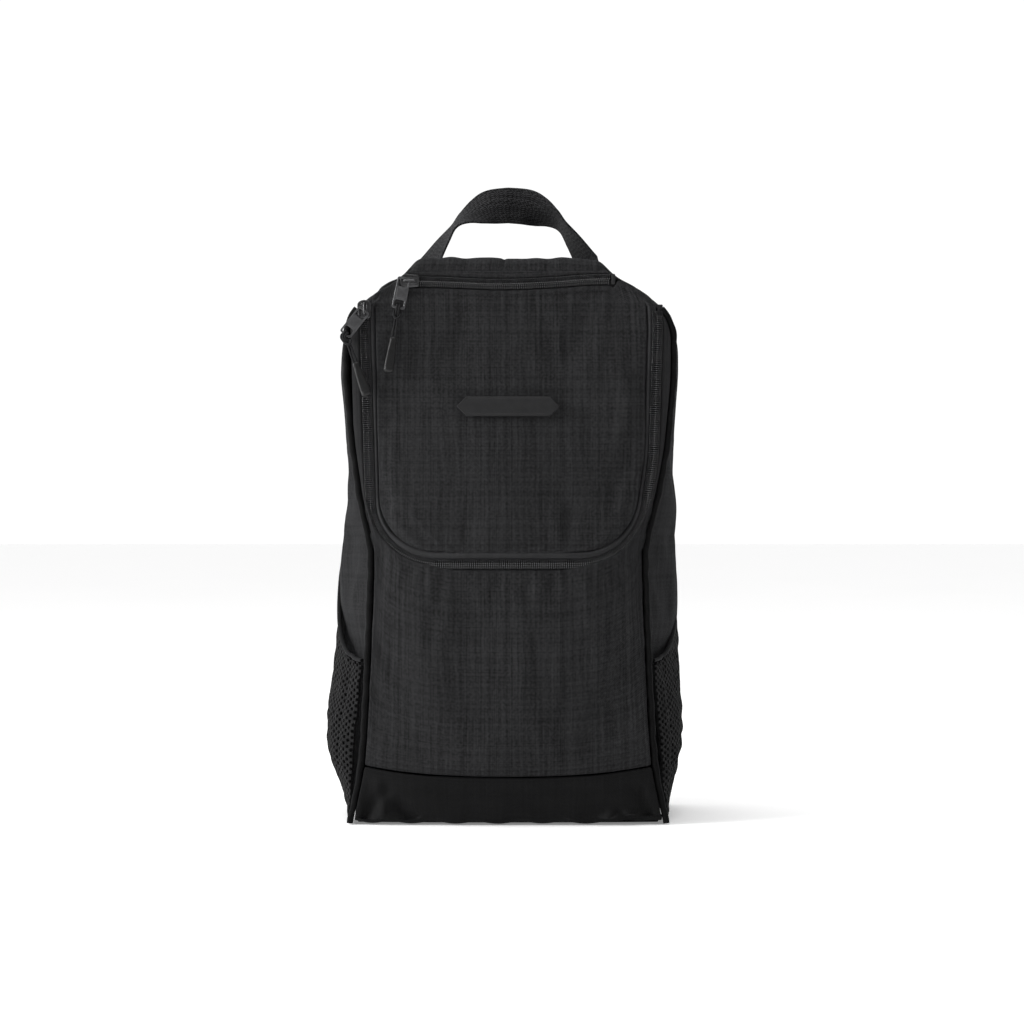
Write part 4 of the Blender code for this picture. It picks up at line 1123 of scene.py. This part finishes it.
def make_sides():
    for word, side, swell, slack in (("right", 1, 0.0042, -0.0032), ("left", -1, 0.0030, 0.0022)):
        z = np.linspace(0.0014, 0.3434, 100)[:, None]
        depth = np.linspace(0.003, 0.999, 44)[None, :]
        flat = side_surface(z, depth)
        body = np.sin(np.pi * depth) ** 0.6 * smooth(0, 0.03, z) * (1 - smooth(0.325, 0.342, z))
        wave = 0.0006 * ripple(flat[..., 1], z * 0.7, 0.060, 60 + side)
        wave = wave + creases(flat[..., 1], z, ((-45, 200, 10, 186, 6, 1.6), (-40, 240, 0, 215, 7, -1.0)))
        flat[..., 0] += (wave + 0.0008) * body - 0.0010 * smooth(0.338, 0.3434, z)
        # The panel swells out towards the pocket's hem, and the left one is the more uneven of the two.
        flat[..., 0] += swell * bell(z - 0.146, 0.028) * np.sin(np.pi * depth) ** 0.7
        if side < 0:
            flat[..., 0] -= 0.0036 * bell(z - 0.212, 0.024) * np.sin(np.pi * depth)
            flat[..., 0] += 0.0032 * bell(z - 0.060, 0.036) * np.sin(np.pi * depth) ** 0.7
        points = mirror(settled(flat, (40, 22), fullness=0.005, cap=0.0016), side)
        sheet(f"side_cloth_{word}", points, (side, 0, 0), GUSSET, "twill", "bag", [f"side_panel_{word}"])
        verts, faces, uv = hex_mesh(side, slack)
        verts = mirror(verts, side)
        if side < 0:
            faces = [f[::-1] for f in faces]
        make(f"mesh_pocket_cloth_{word}", verts, faces, uv, MESH, "spacer_mesh", "bag",
             [f"mesh_pocket_{word}"])
        depth = np.linspace(0.020, 0.980, 90)
        hem = mesh_surface(depth, hem_z(depth), slack) + [-MESH_T / 2, 0, 0.0004]
        tube(f"mesh_pocket_binding_{word}", mirror(hem, side), 0.0014, BINDING, "binding", "bag",
             [f"mesh_pocket_hem_{word}"], sides=14, shape=(0.85, 1.15))
        z = np.linspace(0.0006, 0.3425, 260)
        pipe = np.stack([read(FRONT_EDGE, z), piping_y(z), z], -1)
        pipe[:, 0] += 0.00018 * np.sin(z * 410) + 0.00014 * np.sin(z * 173 + 1)
        tube(f"piping_{word}", mirror(pipe, side), PIPE_R + 0.00008 * np.sin(z * 520), PIPING, "piping", "bag",
             [f"front_piping_{word}"], sides=16)
        z = np.linspace(0.030, 0.340, 120)
        bind = np.stack([read(FRONT_EDGE, z) - 0.0048, piping_y(z) + 0.0052, z], -1)
        tube(f"seam_binding_{word}", mirror(bind, side), 0.0015, BINDING, "binding", "bag",
             [f"front_seam_binding_{word}"], sides=12, shape=(0.7, 1.0))


def make_back_binding():
    z = np.concatenate([np.linspace(0.030, SHOULDER_Z, 110), np.linspace(SHOULDER_Z, 0.3735, 40)[1:]])
    right = np.stack([back_edge(z) - 0.0050, z - 0.005 * smooth(0.335, 0.350, z)], -1)
    top = [[x, right[-1, 1]] for x in (0.03, 0.0, -0.03)]
    line = resample(np.concatenate([right, top, right[::-1] * [-1, 1]]), 0.004)
    path = np.stack([line[:, 0], np.full(len(line), BACK_Y - 0.0040), line[:, 1]], -1)
    tube("back_binding", path, 0.0015, BINDING, "binding", "bag", ["back_seam_binding"], sides=12, shape=(1.0, 0.7))


# ---------------------------------------------------------------- the door
DOOR_EDGE_INSET = ((0.173, 0.0080), (0.190, 0.0074), (0.220, 0.0060), (0.258, 0.0061), (0.300, 0.0070), (0.345, 0.0072))
DOOR_SLOT_Z = POCKET_ZIP_Z - 0.0042


def make_door():
    roll = 0.0010
    base_inset = 0.0072 + roll
    z_low = ZIP_CORNER_Z - (ZIP_CORNER_B - base_inset)
    heights = np.concatenate([z_low + (ZIP_CORNER_Z - z_low) * np.linspace(0, 1, 34) ** 1.5,
                              np.linspace(ZIP_CORNER_Z, DOOR_SLOT_Z - roll, 84)[1:]])[:, None]
    columns = np.linspace(-1, 1, 121)[None, :]
    edge_inset = read(DOOR_EDGE_INSET, heights) + roll
    blend_inset = base_inset + (edge_inset - base_inset) * smooth(z_low, z_low + 0.012, heights)
    half = door_half_width(heights, np.where(heights < ZIP_CORNER_Z, base_inset, blend_inset))
    half = half + (base_inset - blend_inset) * (heights < ZIP_CORNER_Z) * smooth(z_low, ZIP_CORNER_Z, heights)
    half = half + 0.0026 * smooth(0.343, 0.350, heights)
    x = columns * half + zip_lean(heights) * smooth(0.3, 1.0, columns)
    top_share = smooth(0.344, DOOR_SLOT_Z - roll, heights)
    ax = np.abs(x)
    horn = 0.0046 * smooth(0.0708, 0.0726, ax) * (1 - smooth(0.0726, 0.0830, ax))
    z = heights + (horn + pocket_dip(x) * (1 - smooth(0.066, 0.070, ax))) * top_share
    points = front(x, z, COVER_LIFT)
    border = smooth(0, 0.10, 1 - np.abs(columns)) * smooth(z_low, z_low + 0.016, heights)
    wave = 0.00080 * ripple(x, z * 0.5, 0.06, 71) + 0.00010 * ripple(x * 1.3, z, 0.026, 72)
    wave = wave + creases(x, z, (
        (41, 217, 40, 180, 4.2, 2.0), (33, 218, 35, 184, 6.0, -1.0), (-85, 226, -78, 205, 3.4, 1.8),
        (-86, 300, -80, 250, 5.0, 1.4), (56, 350, 38, 300, 8.5, 1.8), (-20, 350, -40, 300, 10.0, 1.4),
        (-64, 335, -56, 290, 9.0, 1.2), (74, 330, 78, 240, 6.0, -1.2), (-30, 204, -25, 182, 5.0, 1.3),
        (62, 318, 88, 306, 6.0, 1.2), (26, 194, 24, 181, 4.0, 1.2), (10, 350, 16, 306, 9.0, -1.0),
    ))
    points[..., 1] -= (0.0012 + wave) * border * (1 - smooth(0.335, 0.352, z) * 0.8)
    points = settled(points, (40, 44), fullness=0.004, cap=0.0014)
    sheet("door_cloth", points, TO_FRONT, TWILL, "twill", "door", ["door_panel"], roll=roll, tuck=0.0009)
    xs = np.linspace(-0.066, 0.066, 200)
    line = front(xs, DOOR_SLOT_Z - 0.0036 + pocket_dip(xs), COVER_LIFT + 0.0004)
    stitches("pocket_stitches", line, TO_FRONT, "door")

    z = np.linspace(0.1865, 0.3635, 60)[:, None]
    columns = np.linspace(-1, 1, 61)[None, :]
    x = columns * door_half_width(z, 0.0128)
    points = front(x, z, -0.0034)
    points[..., 1] += 0.0006 * ripple(x, z * 0.7, 0.04, 81) * (1 - np.abs(columns) ** 4)
    points = settled(points, (30, 30), fullness=0.006, cap=0.0012)
    sheet("door_lining_cloth", points, (0, 1, 0), LINING, "lining", "door", ["door_lining"], 0.0005, 0.0005, 2)


def pocket_place(stations, d, lift, along=0.0):
    x, z, nz = stations[..., 0], stations[..., 1], stations[..., 3]
    px = x + along
    pz = z + nz * d
    y = skin_y(x, z) - lift
    return np.stack(np.broadcast_arrays(px, y, pz), -1)


def make_pocket_zip():
    x = np.linspace(-POCKET_ZIP_HALF - 0.001, POCKET_ZIP_HALF + 0.001, 140)
    z = POCKET_ZIP_Z + pocket_dip(x)
    line = np.stack([x, z, np.zeros_like(x), np.ones_like(x)], -1)
    short = line[2:-2]
    for word, sign, shift in (("upper", 1.0, 0.0), ("lower", -1.0, 0.5)):
        teeth(f"pocket_zip_teeth_{word}", short, sign, shift, "door", [f"pocket_zip_coil_{word}"], pocket_place)
        coil_thread(f"pocket_zip_thread_{word}", short, sign, shift, "door", place=pocket_place)
    d = np.array([0.00068, 0.0020, 0.0036, 0.0050, 0.0078])
    points = pocket_place((line * [1, 1, 1, -1])[:, None, :], d, 0.0)
    band("pocket_zip_tape_below", points, TAPE, "door", ["pocket_zip_tape_lower"])
    # Above the teeth the tape is the fold that the door swings on: it joins the door to the top panel.
    d = np.array([0.00068, 0.0020, 0.0032, 0.0036, 0.0038, 0.0041, 0.0046, 0.0054, 0.0062, 0.0070, 0.0080, 0.0090])
    lift = np.array([0.0, 0.0, 0.0, -0.0003, 0.0004, 0.0010, 0.0013, 0.0012, 0.0008, 0.0001, -0.0008, -0.0014])
    points = pocket_place(line[:, None, :], d, lift)
    level = smooth(0.0040, 0.0062, d)[None, :]
    points[..., 2] += (POCKET_ZIP_Z - z[:, None]) * level
    points[..., 2] = np.minimum(points[..., 2], top_z(x)[:, None] - 0.0016)
    fold = band("pocket_fold_tape", points, TWILL_PAINTED_LIGHT, None, ["pocket_zip_tape_upper"])
    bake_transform(fold)
    y = float(skin_y(POCKET_ZIP_HALF, 0.36)) - 0.0011
    for word, side in (("left", -1), ("right", 1)):
        place = (side * (POCKET_ZIP_HALF + 0.0006), y, POCKET_ZIP_Z + float(pocket_dip(side * POCKET_ZIP_HALF)))
        data = block_data(0.0024, 0.0026, 0.0070)
        solid(f"pocket_zip_stop_{word}", data, STOP, "gunmetal", "door", place=place)


def squarish(value, power):
    """A sine or cosine made squarer by a power below 1."""
    return np.sign(value) * np.abs(value) ** power


def block_data(width, depth, height):
    """A small moulded block: a squarish ball with soft edges."""
    lat = np.linspace(-np.pi / 2, np.pi / 2, 13)[1:-1, None]
    lon = np.arange(24) * 2 * np.pi / 24
    wide = squarish(np.cos(lat), 0.35)
    x = wide * squarish(np.cos(lon), 0.35) * width / 2
    y = wide * squarish(np.sin(lon), 0.35) * depth / 2
    z = squarish(np.sin(lat), 0.35) * height / 2 + 0 * x
    return loft_data(np.stack([x, y, z], -1))


def make_emblem():
    """A plain raised lozenge with a stepped border."""
    u = np.linspace(-1, 1, 97)[None, :]
    v = np.linspace(-1, 1, 25)[:, None]
    half = EMBLEM_HALF_W - 0.0005 - 0.006 * np.abs(v)
    x, z = u * half, EMBLEM_Z + v * (EMBLEM_HALF_H - 0.0003) + 0 * u
    border = np.minimum((1 - np.abs(u)) * half, (1 - np.abs(v)) * EMBLEM_HALF_H)
    step = 0.00025 * (smooth(0.0011, 0.0013, border) - smooth(0.0006, 0.0008, border))
    points = front(x, z, COVER_LIFT + 0.0032 + step)
    sheet("door_emblem_film", points, TO_FRONT, FILM, "print_film", "door", ["door_emblem"], 0.0004, 0.0003, 3,
          0.0016)


# ---------------------------------------------------------------- the handle
def handle_section(side):
    reach, sign = abs(side), math.copysign(1.0, side)
    x, z = float(read(HANDLE_X, reach)), float(read(HANDLE_Z, reach))
    lean = 0.0
    if reach > 0.05:
        lean = math.atan2(float(read(HANDLE_Z, reach - 0.04)) - z, x - float(read(HANDLE_X, reach - 0.04)))
    lean += (math.pi / 2 - lean) * float(smooth(0.72, 1.0, reach))
    turn = math.radians(float(read(HANDLE_TURN, reach)))
    outward = np.array([sign * math.sin(lean), 0.0, math.cos(lean)])
    width = outward * math.cos(turn) + np.array([0.0, sign * -math.sin(turn), 0.0])
    return np.array([sign * x, HANDLE_Y, z]), unit(width)


def make_handle():
    share = np.linspace(-1, 1, 121)
    middles, widths = (np.array(v) for v in zip(*[handle_section(s) for s in share]))
    foot_z = np.linspace(0.0086, 0.0008, 8)[:, None]
    down = np.array([0.0, 0.0, -1.0])
    left = middles[0] + down * foot_z
    right = middles[-1] + down * foot_z[::-1]
    middles = np.concatenate([left, middles, right])
    widths = np.concatenate([np.repeat(widths[:1], 8, 0), widths, np.repeat(widths[-1:], 8, 0)])
    along = unit(np.gradient(middles, axis=0))
    widths = unit(widths - along * (widths * along).sum(1, keepdims=True))
    face = np.cross(along, widths)
    half = WEBBING_W / 2
    across = np.concatenate([np.linspace(-1, 1, 33), np.linspace(1, -1, 33)])
    thick = 0.00078 + 0.00026 * bell(1 - np.abs(across), 0.06)
    thick = np.where(1 - np.abs(across) < 0.02, thick * 0.35, thick)
    thick = thick - 0.00020 * bell(np.abs(across) - 0.86, 0.03)
    sign = np.concatenate([np.full(33, 1.0), np.full(33, -1.0)])
    rows = []
    for k, (m, w, f) in enumerate(zip(middles, widths, face)):
        buckle = 0.0005 * math.sin(k * 0.23) * (1 - across**2)
        rows.append(m + w * (across * half)[:, None] + f * ((thick * sign) + buckle)[:, None])
    uv = np.stack(np.broadcast_arrays((across * half)[None, :], arc_of(middles)[:, None]), -1)
    made = solid("handle_webbing", loft_data(np.array(rows), uv), WEBBING, "webbing", None,
                 ["handle_strap", "handle_foot_left", "handle_foot_right"])
    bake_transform(made)


# ---------------------------------------------------------------- sliders and pulls
def frame_of(hanging):
    """Axes with -Z along hanging and -Y as near the front as it can be, as a rotation matrix."""
    down = Vector(hanging).normalized()
    out = Vector(TO_FRONT)
    out = (out - down * out.dot(down)).normalized()
    across = (-out).cross(-down)
    return Matrix((across, -out, -down)).transposed()


def outline_plate(outline, low, high, bevel, dome=0.0):
    """A plate with rounded upper and lower edges from a closed outline, its top gently domed."""
    outline = np.asarray(outline, float)
    centre = outline.mean(0)
    along = unit(np.roll(outline, -1, 0) - np.roll(outline, 1, 0))
    out = np.stack([along[:, 1], -along[:, 0]], -1)
    if ((outline - centre) * out).sum() < 0:
        out = -out
    rings = []
    quarter = np.linspace(0, np.pi / 2, 4)
    for a in quarter:
        rings.append((outline - out * bevel * (1 - math.sin(a)), low + bevel * (1 - math.cos(a))))
    for a in quarter:
        rings.append((outline - out * bevel * (1 - math.cos(a)), high - bevel * (1 - math.sin(a))))
    flat = rings[-1][0]
    for share in (0.85, 0.6, 0.3):
        rings.append((centre + (flat - centre) * share, high + dome * (1 - share**2)))
    points = np.array([[(x, y, z) for x, y in ring] for ring, z in rings])
    return loft_data(points)


def slider_outline():
    """Wide shoulders at the nose, narrowing to the tail."""
    half = np.array([(0.0, 0.00625), (0.0016, 0.00600), (0.0034, 0.00520), (0.0045, 0.00380), (0.0047, 0.00200),
                     (0.0044, 0.00000), (0.0040, -0.00200), (0.0039, -0.00450), (0.0038, -0.00560),
                     (0.0030, -0.00615), (0.0015, -0.00625), (0.0, -0.00625)])
    return closed(np.concatenate([half, half[-2:0:-1] * [-1, 1]]), 60)


def make_slider(name, place, turn, full, body):
    """Two plates joined by a web at the nose, with the crown that holds the pull tab."""
    upper = COIL_LIFT + CHANNEL
    lower = -0.0006 - CHANNEL
    outline = slider_outline()
    parts = [outline_plate(outline, upper, upper + PLATE_T, 0.00035, 0.00025)]
    low = outline if full else closed(outline[outline[:, 0] > -0.0003], 48)
    parts.append(outline_plate(low * [0.97, 0.90], lower - PLATE_T, lower, 0.00030))
    web = closed([(-0.0003, 0.0056), (0.0003, 0.0056), (0.0003, -0.0006), (-0.0003, -0.0006)], 24)
    parts.append(outline_plate(web, lower - 0.0002, upper + 0.0002, 0.00008))
    rail = closed([(0.0040, 0.0030), (0.00465, 0.0030), (0.00395, -0.0050), (0.00345, -0.0050)], 32)
    for side in (-1, 1):
        parts.append(outline_plate(rail * [side, 1], upper - CHANNEL, upper + 0.0004, 0.00012))
    # A raised rib on each side of the crown.
    for side in (-1, 1):
        rib = np.array([(side * 0.0017, y, upper + PLATE_T + 0.00012) for y in np.linspace(-0.0048, 0.0042, 12)])
        parts.append(tube_data(rib, 0.00028 * np.sin(np.linspace(0.25, np.pi - 0.25, 12)) ** 0.5, sides=8))
    verts, faces, uv = together([(v, outward_faces(v, f), uv) for v, f, uv in parts])
    make(f"{name}_slider_metal", into(verts, place, turn), faces, uv, METAL, "gunmetal", body, [f"{name}_slider_body"])
    foot = upper + PLATE_T
    top = foot + BRIDGE_H
    half = SLIDER_L * BRIDGE_HALF
    path = [(0, -half, foot - 0.0002), (0, -half, foot + 0.0013), (0, -half + 0.0003, top - 0.0006),
            (0, -half + 0.0012, top), (0, half - 0.0012, top), (0, half - 0.0003, top - 0.0006),
            (0, half, foot + 0.0013), (0, half, foot - 0.0002)]
    bridge = tube_data(rounded(path, 0.0003), BRIDGE_R, sides=14, shape=(1.0, 0.9))
    solid(f"{name}_slider_crown", bridge, METAL, "gunmetal", body, [f"{name}_slider_bridge"], place, turn)


def rounded_outline(half_w, low, high, radius):
    """A rectangle with rounded corners."""
    points, steps = [], 6
    for cx, cz, start in ((half_w - radius, high - radius, 0), (-half_w + radius, high - radius, 90),
                          (-half_w + radius, low + radius, 180), (half_w - radius, low + radius, 270)):
        for k in range(steps + 1):
            a = math.radians(start + 90 * k / steps)
            points.append((cx + radius * math.cos(a), cz + radius * math.sin(a)))
    return points


def make_tab(name, place, turn, body, rise):
    """The pull tab: a flat ring of metal with bevelled edges, an eye above and a window below."""
    curve = bpy.data.curves.new(f"{name}_tab_outline", "CURVE")
    curve.dimensions = "2D"
    curve.fill_mode = "BOTH"
    bevel = 0.00030
    curve.extrude = TAB_T / 2 - bevel
    curve.bevel_depth = bevel
    curve.bevel_resolution = 3
    curve.offset = -bevel
    half, bar = TAB_W / 2, TAB_BAR / 2
    inner = half - 0.0012
    bottom = bar - TAB_L
    shapes = [rounded_outline(half, bottom, bar, 0.0016), rounded_outline(inner, -bar - EYE_H, -bar, 0.0010),
              rounded_outline(inner, bottom + TAB_BAR, bottom + TAB_BAR + WINDOW_H, 0.0012)]
    for shape in shapes:
        spline = curve.splines.new("POLY")
        spline.points.add(len(shape) - 1)
        for point, (x, z) in zip(spline.points, shape):
            point.co = (x, z, 0.0, 1.0)
        spline.use_cyclic_u = True
    temporary = link("outline", curve)
    mesh = bpy.data.meshes.new_from_object(temporary.evaluated_get(bpy.context.evaluated_depsgraph_get()))
    bpy.data.objects.remove(temporary)
    mesh.transform(Matrix.Translation(place) @ turn.to_4x4() @ Matrix.Translation((0, 0, rise))
                   @ Matrix.Rotation(math.pi / 2, 4, "X"))
    mesh.name = f"{name}_tab_plate"
    mesh.materials.clear()
    mesh.materials.append(SATIN)
    mesh.shade_smooth()
    mesh.set_sharp_from_angle(angle=math.radians(35))
    made = link(f"{name}_tab_plate", mesh)
    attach(made, body)
    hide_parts(f"{name}_tab")
    # A raised panel between the eye and the window.
    low, high = bottom + TAB_BAR + WINDOW_H + 0.0011, -bar - EYE_H - 0.0011
    raised = closed(rounded_outline(half - 0.0014, low, high, 0.0008), 60)
    verts, faces, uv = outline_plate(raised, 0.0, TAB_T / 2 + 0.00014, 0.00010)
    verts = np.stack([verts[:, 0], -verts[:, 2], verts[:, 1] + rise], -1)
    solid(f"{name}_tab_face", (verts, faces, uv), SATIN, "gunmetal", body, (), place, turn)


def make_pull(name, bar, tab_turn, direction, body):
    """A braided cord hitched round the tab's lower bar, and its moulded grip."""
    local = frame_of(tab_turn.inverted() @ Vector(direction))
    half = [(0.0, -1.95, -7.5), (1.25, -1.75, -7.0), (2.25, -0.9, -5.4), (2.35, 0.35, -3.4), (1.75, 1.25, -1.5),
            (1.15, 1.35, 0.0), (0.95, 0.9, 1.15), (0.85, -0.2, 1.55), (0.80, -1.25, 0.7), (0.80, -1.35, -1.2),
            (0.78, -0.85, -3.6), (0.78, -0.30, -5.6), (0.80, -0.05, -7.6), (0.85, 0.0, -11.0), (0.95, 0.0, -15.0),
            (1.05, 0.0, -19.5), (1.05, 0.0, -21.0)]
    points = [(-x, y, z) for x, y, z in half[:0:-1]] + half
    swung = []
    for x, y, z in points:
        share = float(smooth(1.0, 6.0, -z))
        straight = Vector((x, y, z)) * MM
        swung.append(tuple(straight * (1 - share) + (local @ straight) * share))
    path = rounded(swung, 0.00028)

    def braid(turn, arc):
        return 1 + 0.085 * np.sin(4 * turn + arc * 3300) * np.sin(4 * turn - arc * 3300)

    cord = tube_data(path, CORD_R, sides=24, relief=braid)
    solid(f"{name}_pull_braid", cord, CORD, "pull_cord", body, [f"{name}_pull_cord"], bar, tab_turn)

    rings = []
    length = PULL_END_L
    lon = np.arange(40) * 2 * np.pi / 40
    for share in np.concatenate([[0.0, 0.012, 0.03, 0.06], np.linspace(0.1, 0.9, 28), [0.94, 0.97, 0.99, 1.0]]):
        end = min(share, 1 - share) * length
        round_off = math.sqrt(max(0.0, 1 - max(0.0, 1 - end / 0.0017) ** 2)) if end < 0.0017 else 1.0
        round_off = max(round_off, 0.08)
        half_w = (0.0023 + 0.0010 * float(smooth(0.0, 0.9, share))) * round_off
        half_t = (0.0016 + 0.0004 * float(smooth(0.2, 1.0, share))) * round_off
        waist = 1 - 0.07 * math.exp(-(((share - 0.16) / 0.035) ** 2))
        dished = 0.16 * float(smooth(0.30, 0.36, share) * (1 - smooth(0.82, 0.88, share)))
        x = squarish(np.cos(lon), 0.72) * half_w * waist
        y = squarish(np.sin(lon), 0.72) * half_t * waist * (1 - dished * np.abs(np.sin(lon)) ** 3)
        rings.append(np.stack([x, y, np.full_like(x, -PULL_CORD_L - GAP - share * length)], -1))
    solid(f"{name}_pull_grip_rubber", loft_data(np.array(rings)), RUBBER, "grip_rubber", body,
          [f"{name}_pull_grip"], bar, tab_turn @ local)


def make_pulls(name, pivot, rise, tab_dir, pull_dir):
    turn = frame_of(tab_dir)
    make_tab(name, pivot, turn, f"{name}_tab", rise)
    bar = Vector(pivot) + Vector(tab_dir).normalized() * (TAB_L - TAB_BAR - rise)
    make_pull(name, bar, turn, pull_dir, f"{name}_pull")


def make_sliders():
    x = -(ZIP_CORNER_X + LEAN * (DOOR_SLIDER_Z - ZIP_CORNER_Z))
    place = Vector(front(x, DOOR_SLIDER_Z))
    low = Vector(front(-ZIP_CORNER_X, ZIP_CORNER_Z))
    along = (place - low).normalized()
    out = Vector(TO_FRONT)
    out = (out - along * out.dot(along)).normalized()
    across = along.cross(out)
    top = COIL_LIFT + CHANNEL + PLATE_T
    make_slider("door", place, Matrix((across, along, out)).transposed(), False, "door_slider")
    make_pulls("door", place - along * 0.0010 + out * (top + GAP + TAB_T / 2), 0.0, DOOR_TAB_DIR, DOOR_PULL_DIR)

    place = Vector(front(POCKET_SLIDER_X, POCKET_ZIP_Z))
    make_slider("pocket", place, Matrix(((0, -1, 0), (0, 0, -1), (1, 0, 0))), True, "pocket_slider")
    leg = Vector((POCKET_SLIDER_X - SLIDER_L * BRIDGE_HALF, place.y - top - GAP - TAB_T / 2, POCKET_ZIP_Z))
    make_pulls("pocket", leg, BRIDGE_R + TAB_BAR / 2 + GAP, POCKET_TAB_DIR, POCKET_PULL_DIR)


# ---------------------------------------------------------------- studio
def make_studio():
    t = Tree("studio_white")
    soft = t.noise(t.place(), 3.0)
    t.put(t.shader.inputs["Base Color"], t.ramp(soft, ((0.3, (0.93, 0.93, 0.93)), (0.7, (0.95, 0.95, 0.95)))))
    t.set(roughness=0.9, specular_ior_level=0.1, emission_strength=0.22)
    t.shader.inputs["Emission Color"].default_value = (1, 1, 1, 1)
    across = np.linspace(-14, 14, 30)
    points = np.stack(np.broadcast_arrays(across[None, :], across[:, None], -0.0004), -1)
    mesh = bpy.data.meshes.new("studio_floor")
    mesh.from_pydata(points.reshape(-1, 3).tolist(), [], grid_quads(*points.shape[:2]).tolist())
    mesh.materials.append(t.material)
    mesh.shade_smooth()
    floor = link("studio_floor", mesh)

    world = bpy.data.worlds.new("studio")
    world.use_nodes = True
    # A white room that is dimmer in front of the bag, so that its light comes from above and the sides.
    nodes, links = world.node_tree.nodes, world.node_tree.links
    split = nodes.new("ShaderNodeSeparateXYZ")
    links.new(nodes.new("ShaderNodeTexCoord").outputs["Generated"], split.inputs[0])
    total = nodes.new("ShaderNodeMath")
    total.operation = "MULTIPLY"
    for k, (axis, ends) in enumerate(((1, (-0.95, -0.05, 0.10, 1.05)), (0, (0.25, 0.90, 1.0, 0.45)))):
        dim = nodes.new("ShaderNodeMapRange")
        links.new(split.outputs[axis], dim.inputs[0])
        for socket, value in enumerate(ends, 1):
            dim.inputs[socket].default_value = value
        links.new(dim.outputs[0], total.inputs[k])
    nodes["Background"].inputs[0].default_value = (1, 1, 1, 1)
    links.new(total.outputs[0], nodes["Background"].inputs[1])
    bpy.context.scene.world = world
    for name, place, size, power in (
        ("key", (-1.98, -0.66, 0.90), 0.8, 50.0),
        ("fill", (1.2, -1.6, 0.6), 1.4, 1.5),
        ("top", (-0.1, -0.15, 2.2), 1.0, 12.0),
    ):
        light = bpy.data.lights.new(name, "AREA")
        light.energy = power
        light.size = size
        lamp = link(name, light)
        lamp.location = place
        lamp.rotation_euler = (Vector((0, 0, 0.2)) - Vector(place)).to_track_quat("-Z", "Y").to_euler()

    camera = bpy.data.cameras.new("camera")
    camera.lens = 85
    camera.sensor_width = 36
    camera.clip_end = 50
    eye = link("camera", camera)
    eye.location = (0.0026, -1.651, 0.207)
    eye.rotation_euler = (math.pi / 2, 0, 0)
    bpy.context.scene.camera = eye
    bpy.context.scene.view_settings.view_transform = "Standard"


make_studio()
make_back_and_bottom()
make_band()
make_lower_panel()
make_top_panel()
make_sides()
make_back_binding()
make_door_zip()
make_door()
make_pocket_zip()
make_emblem()
make_handle()
make_sliders()
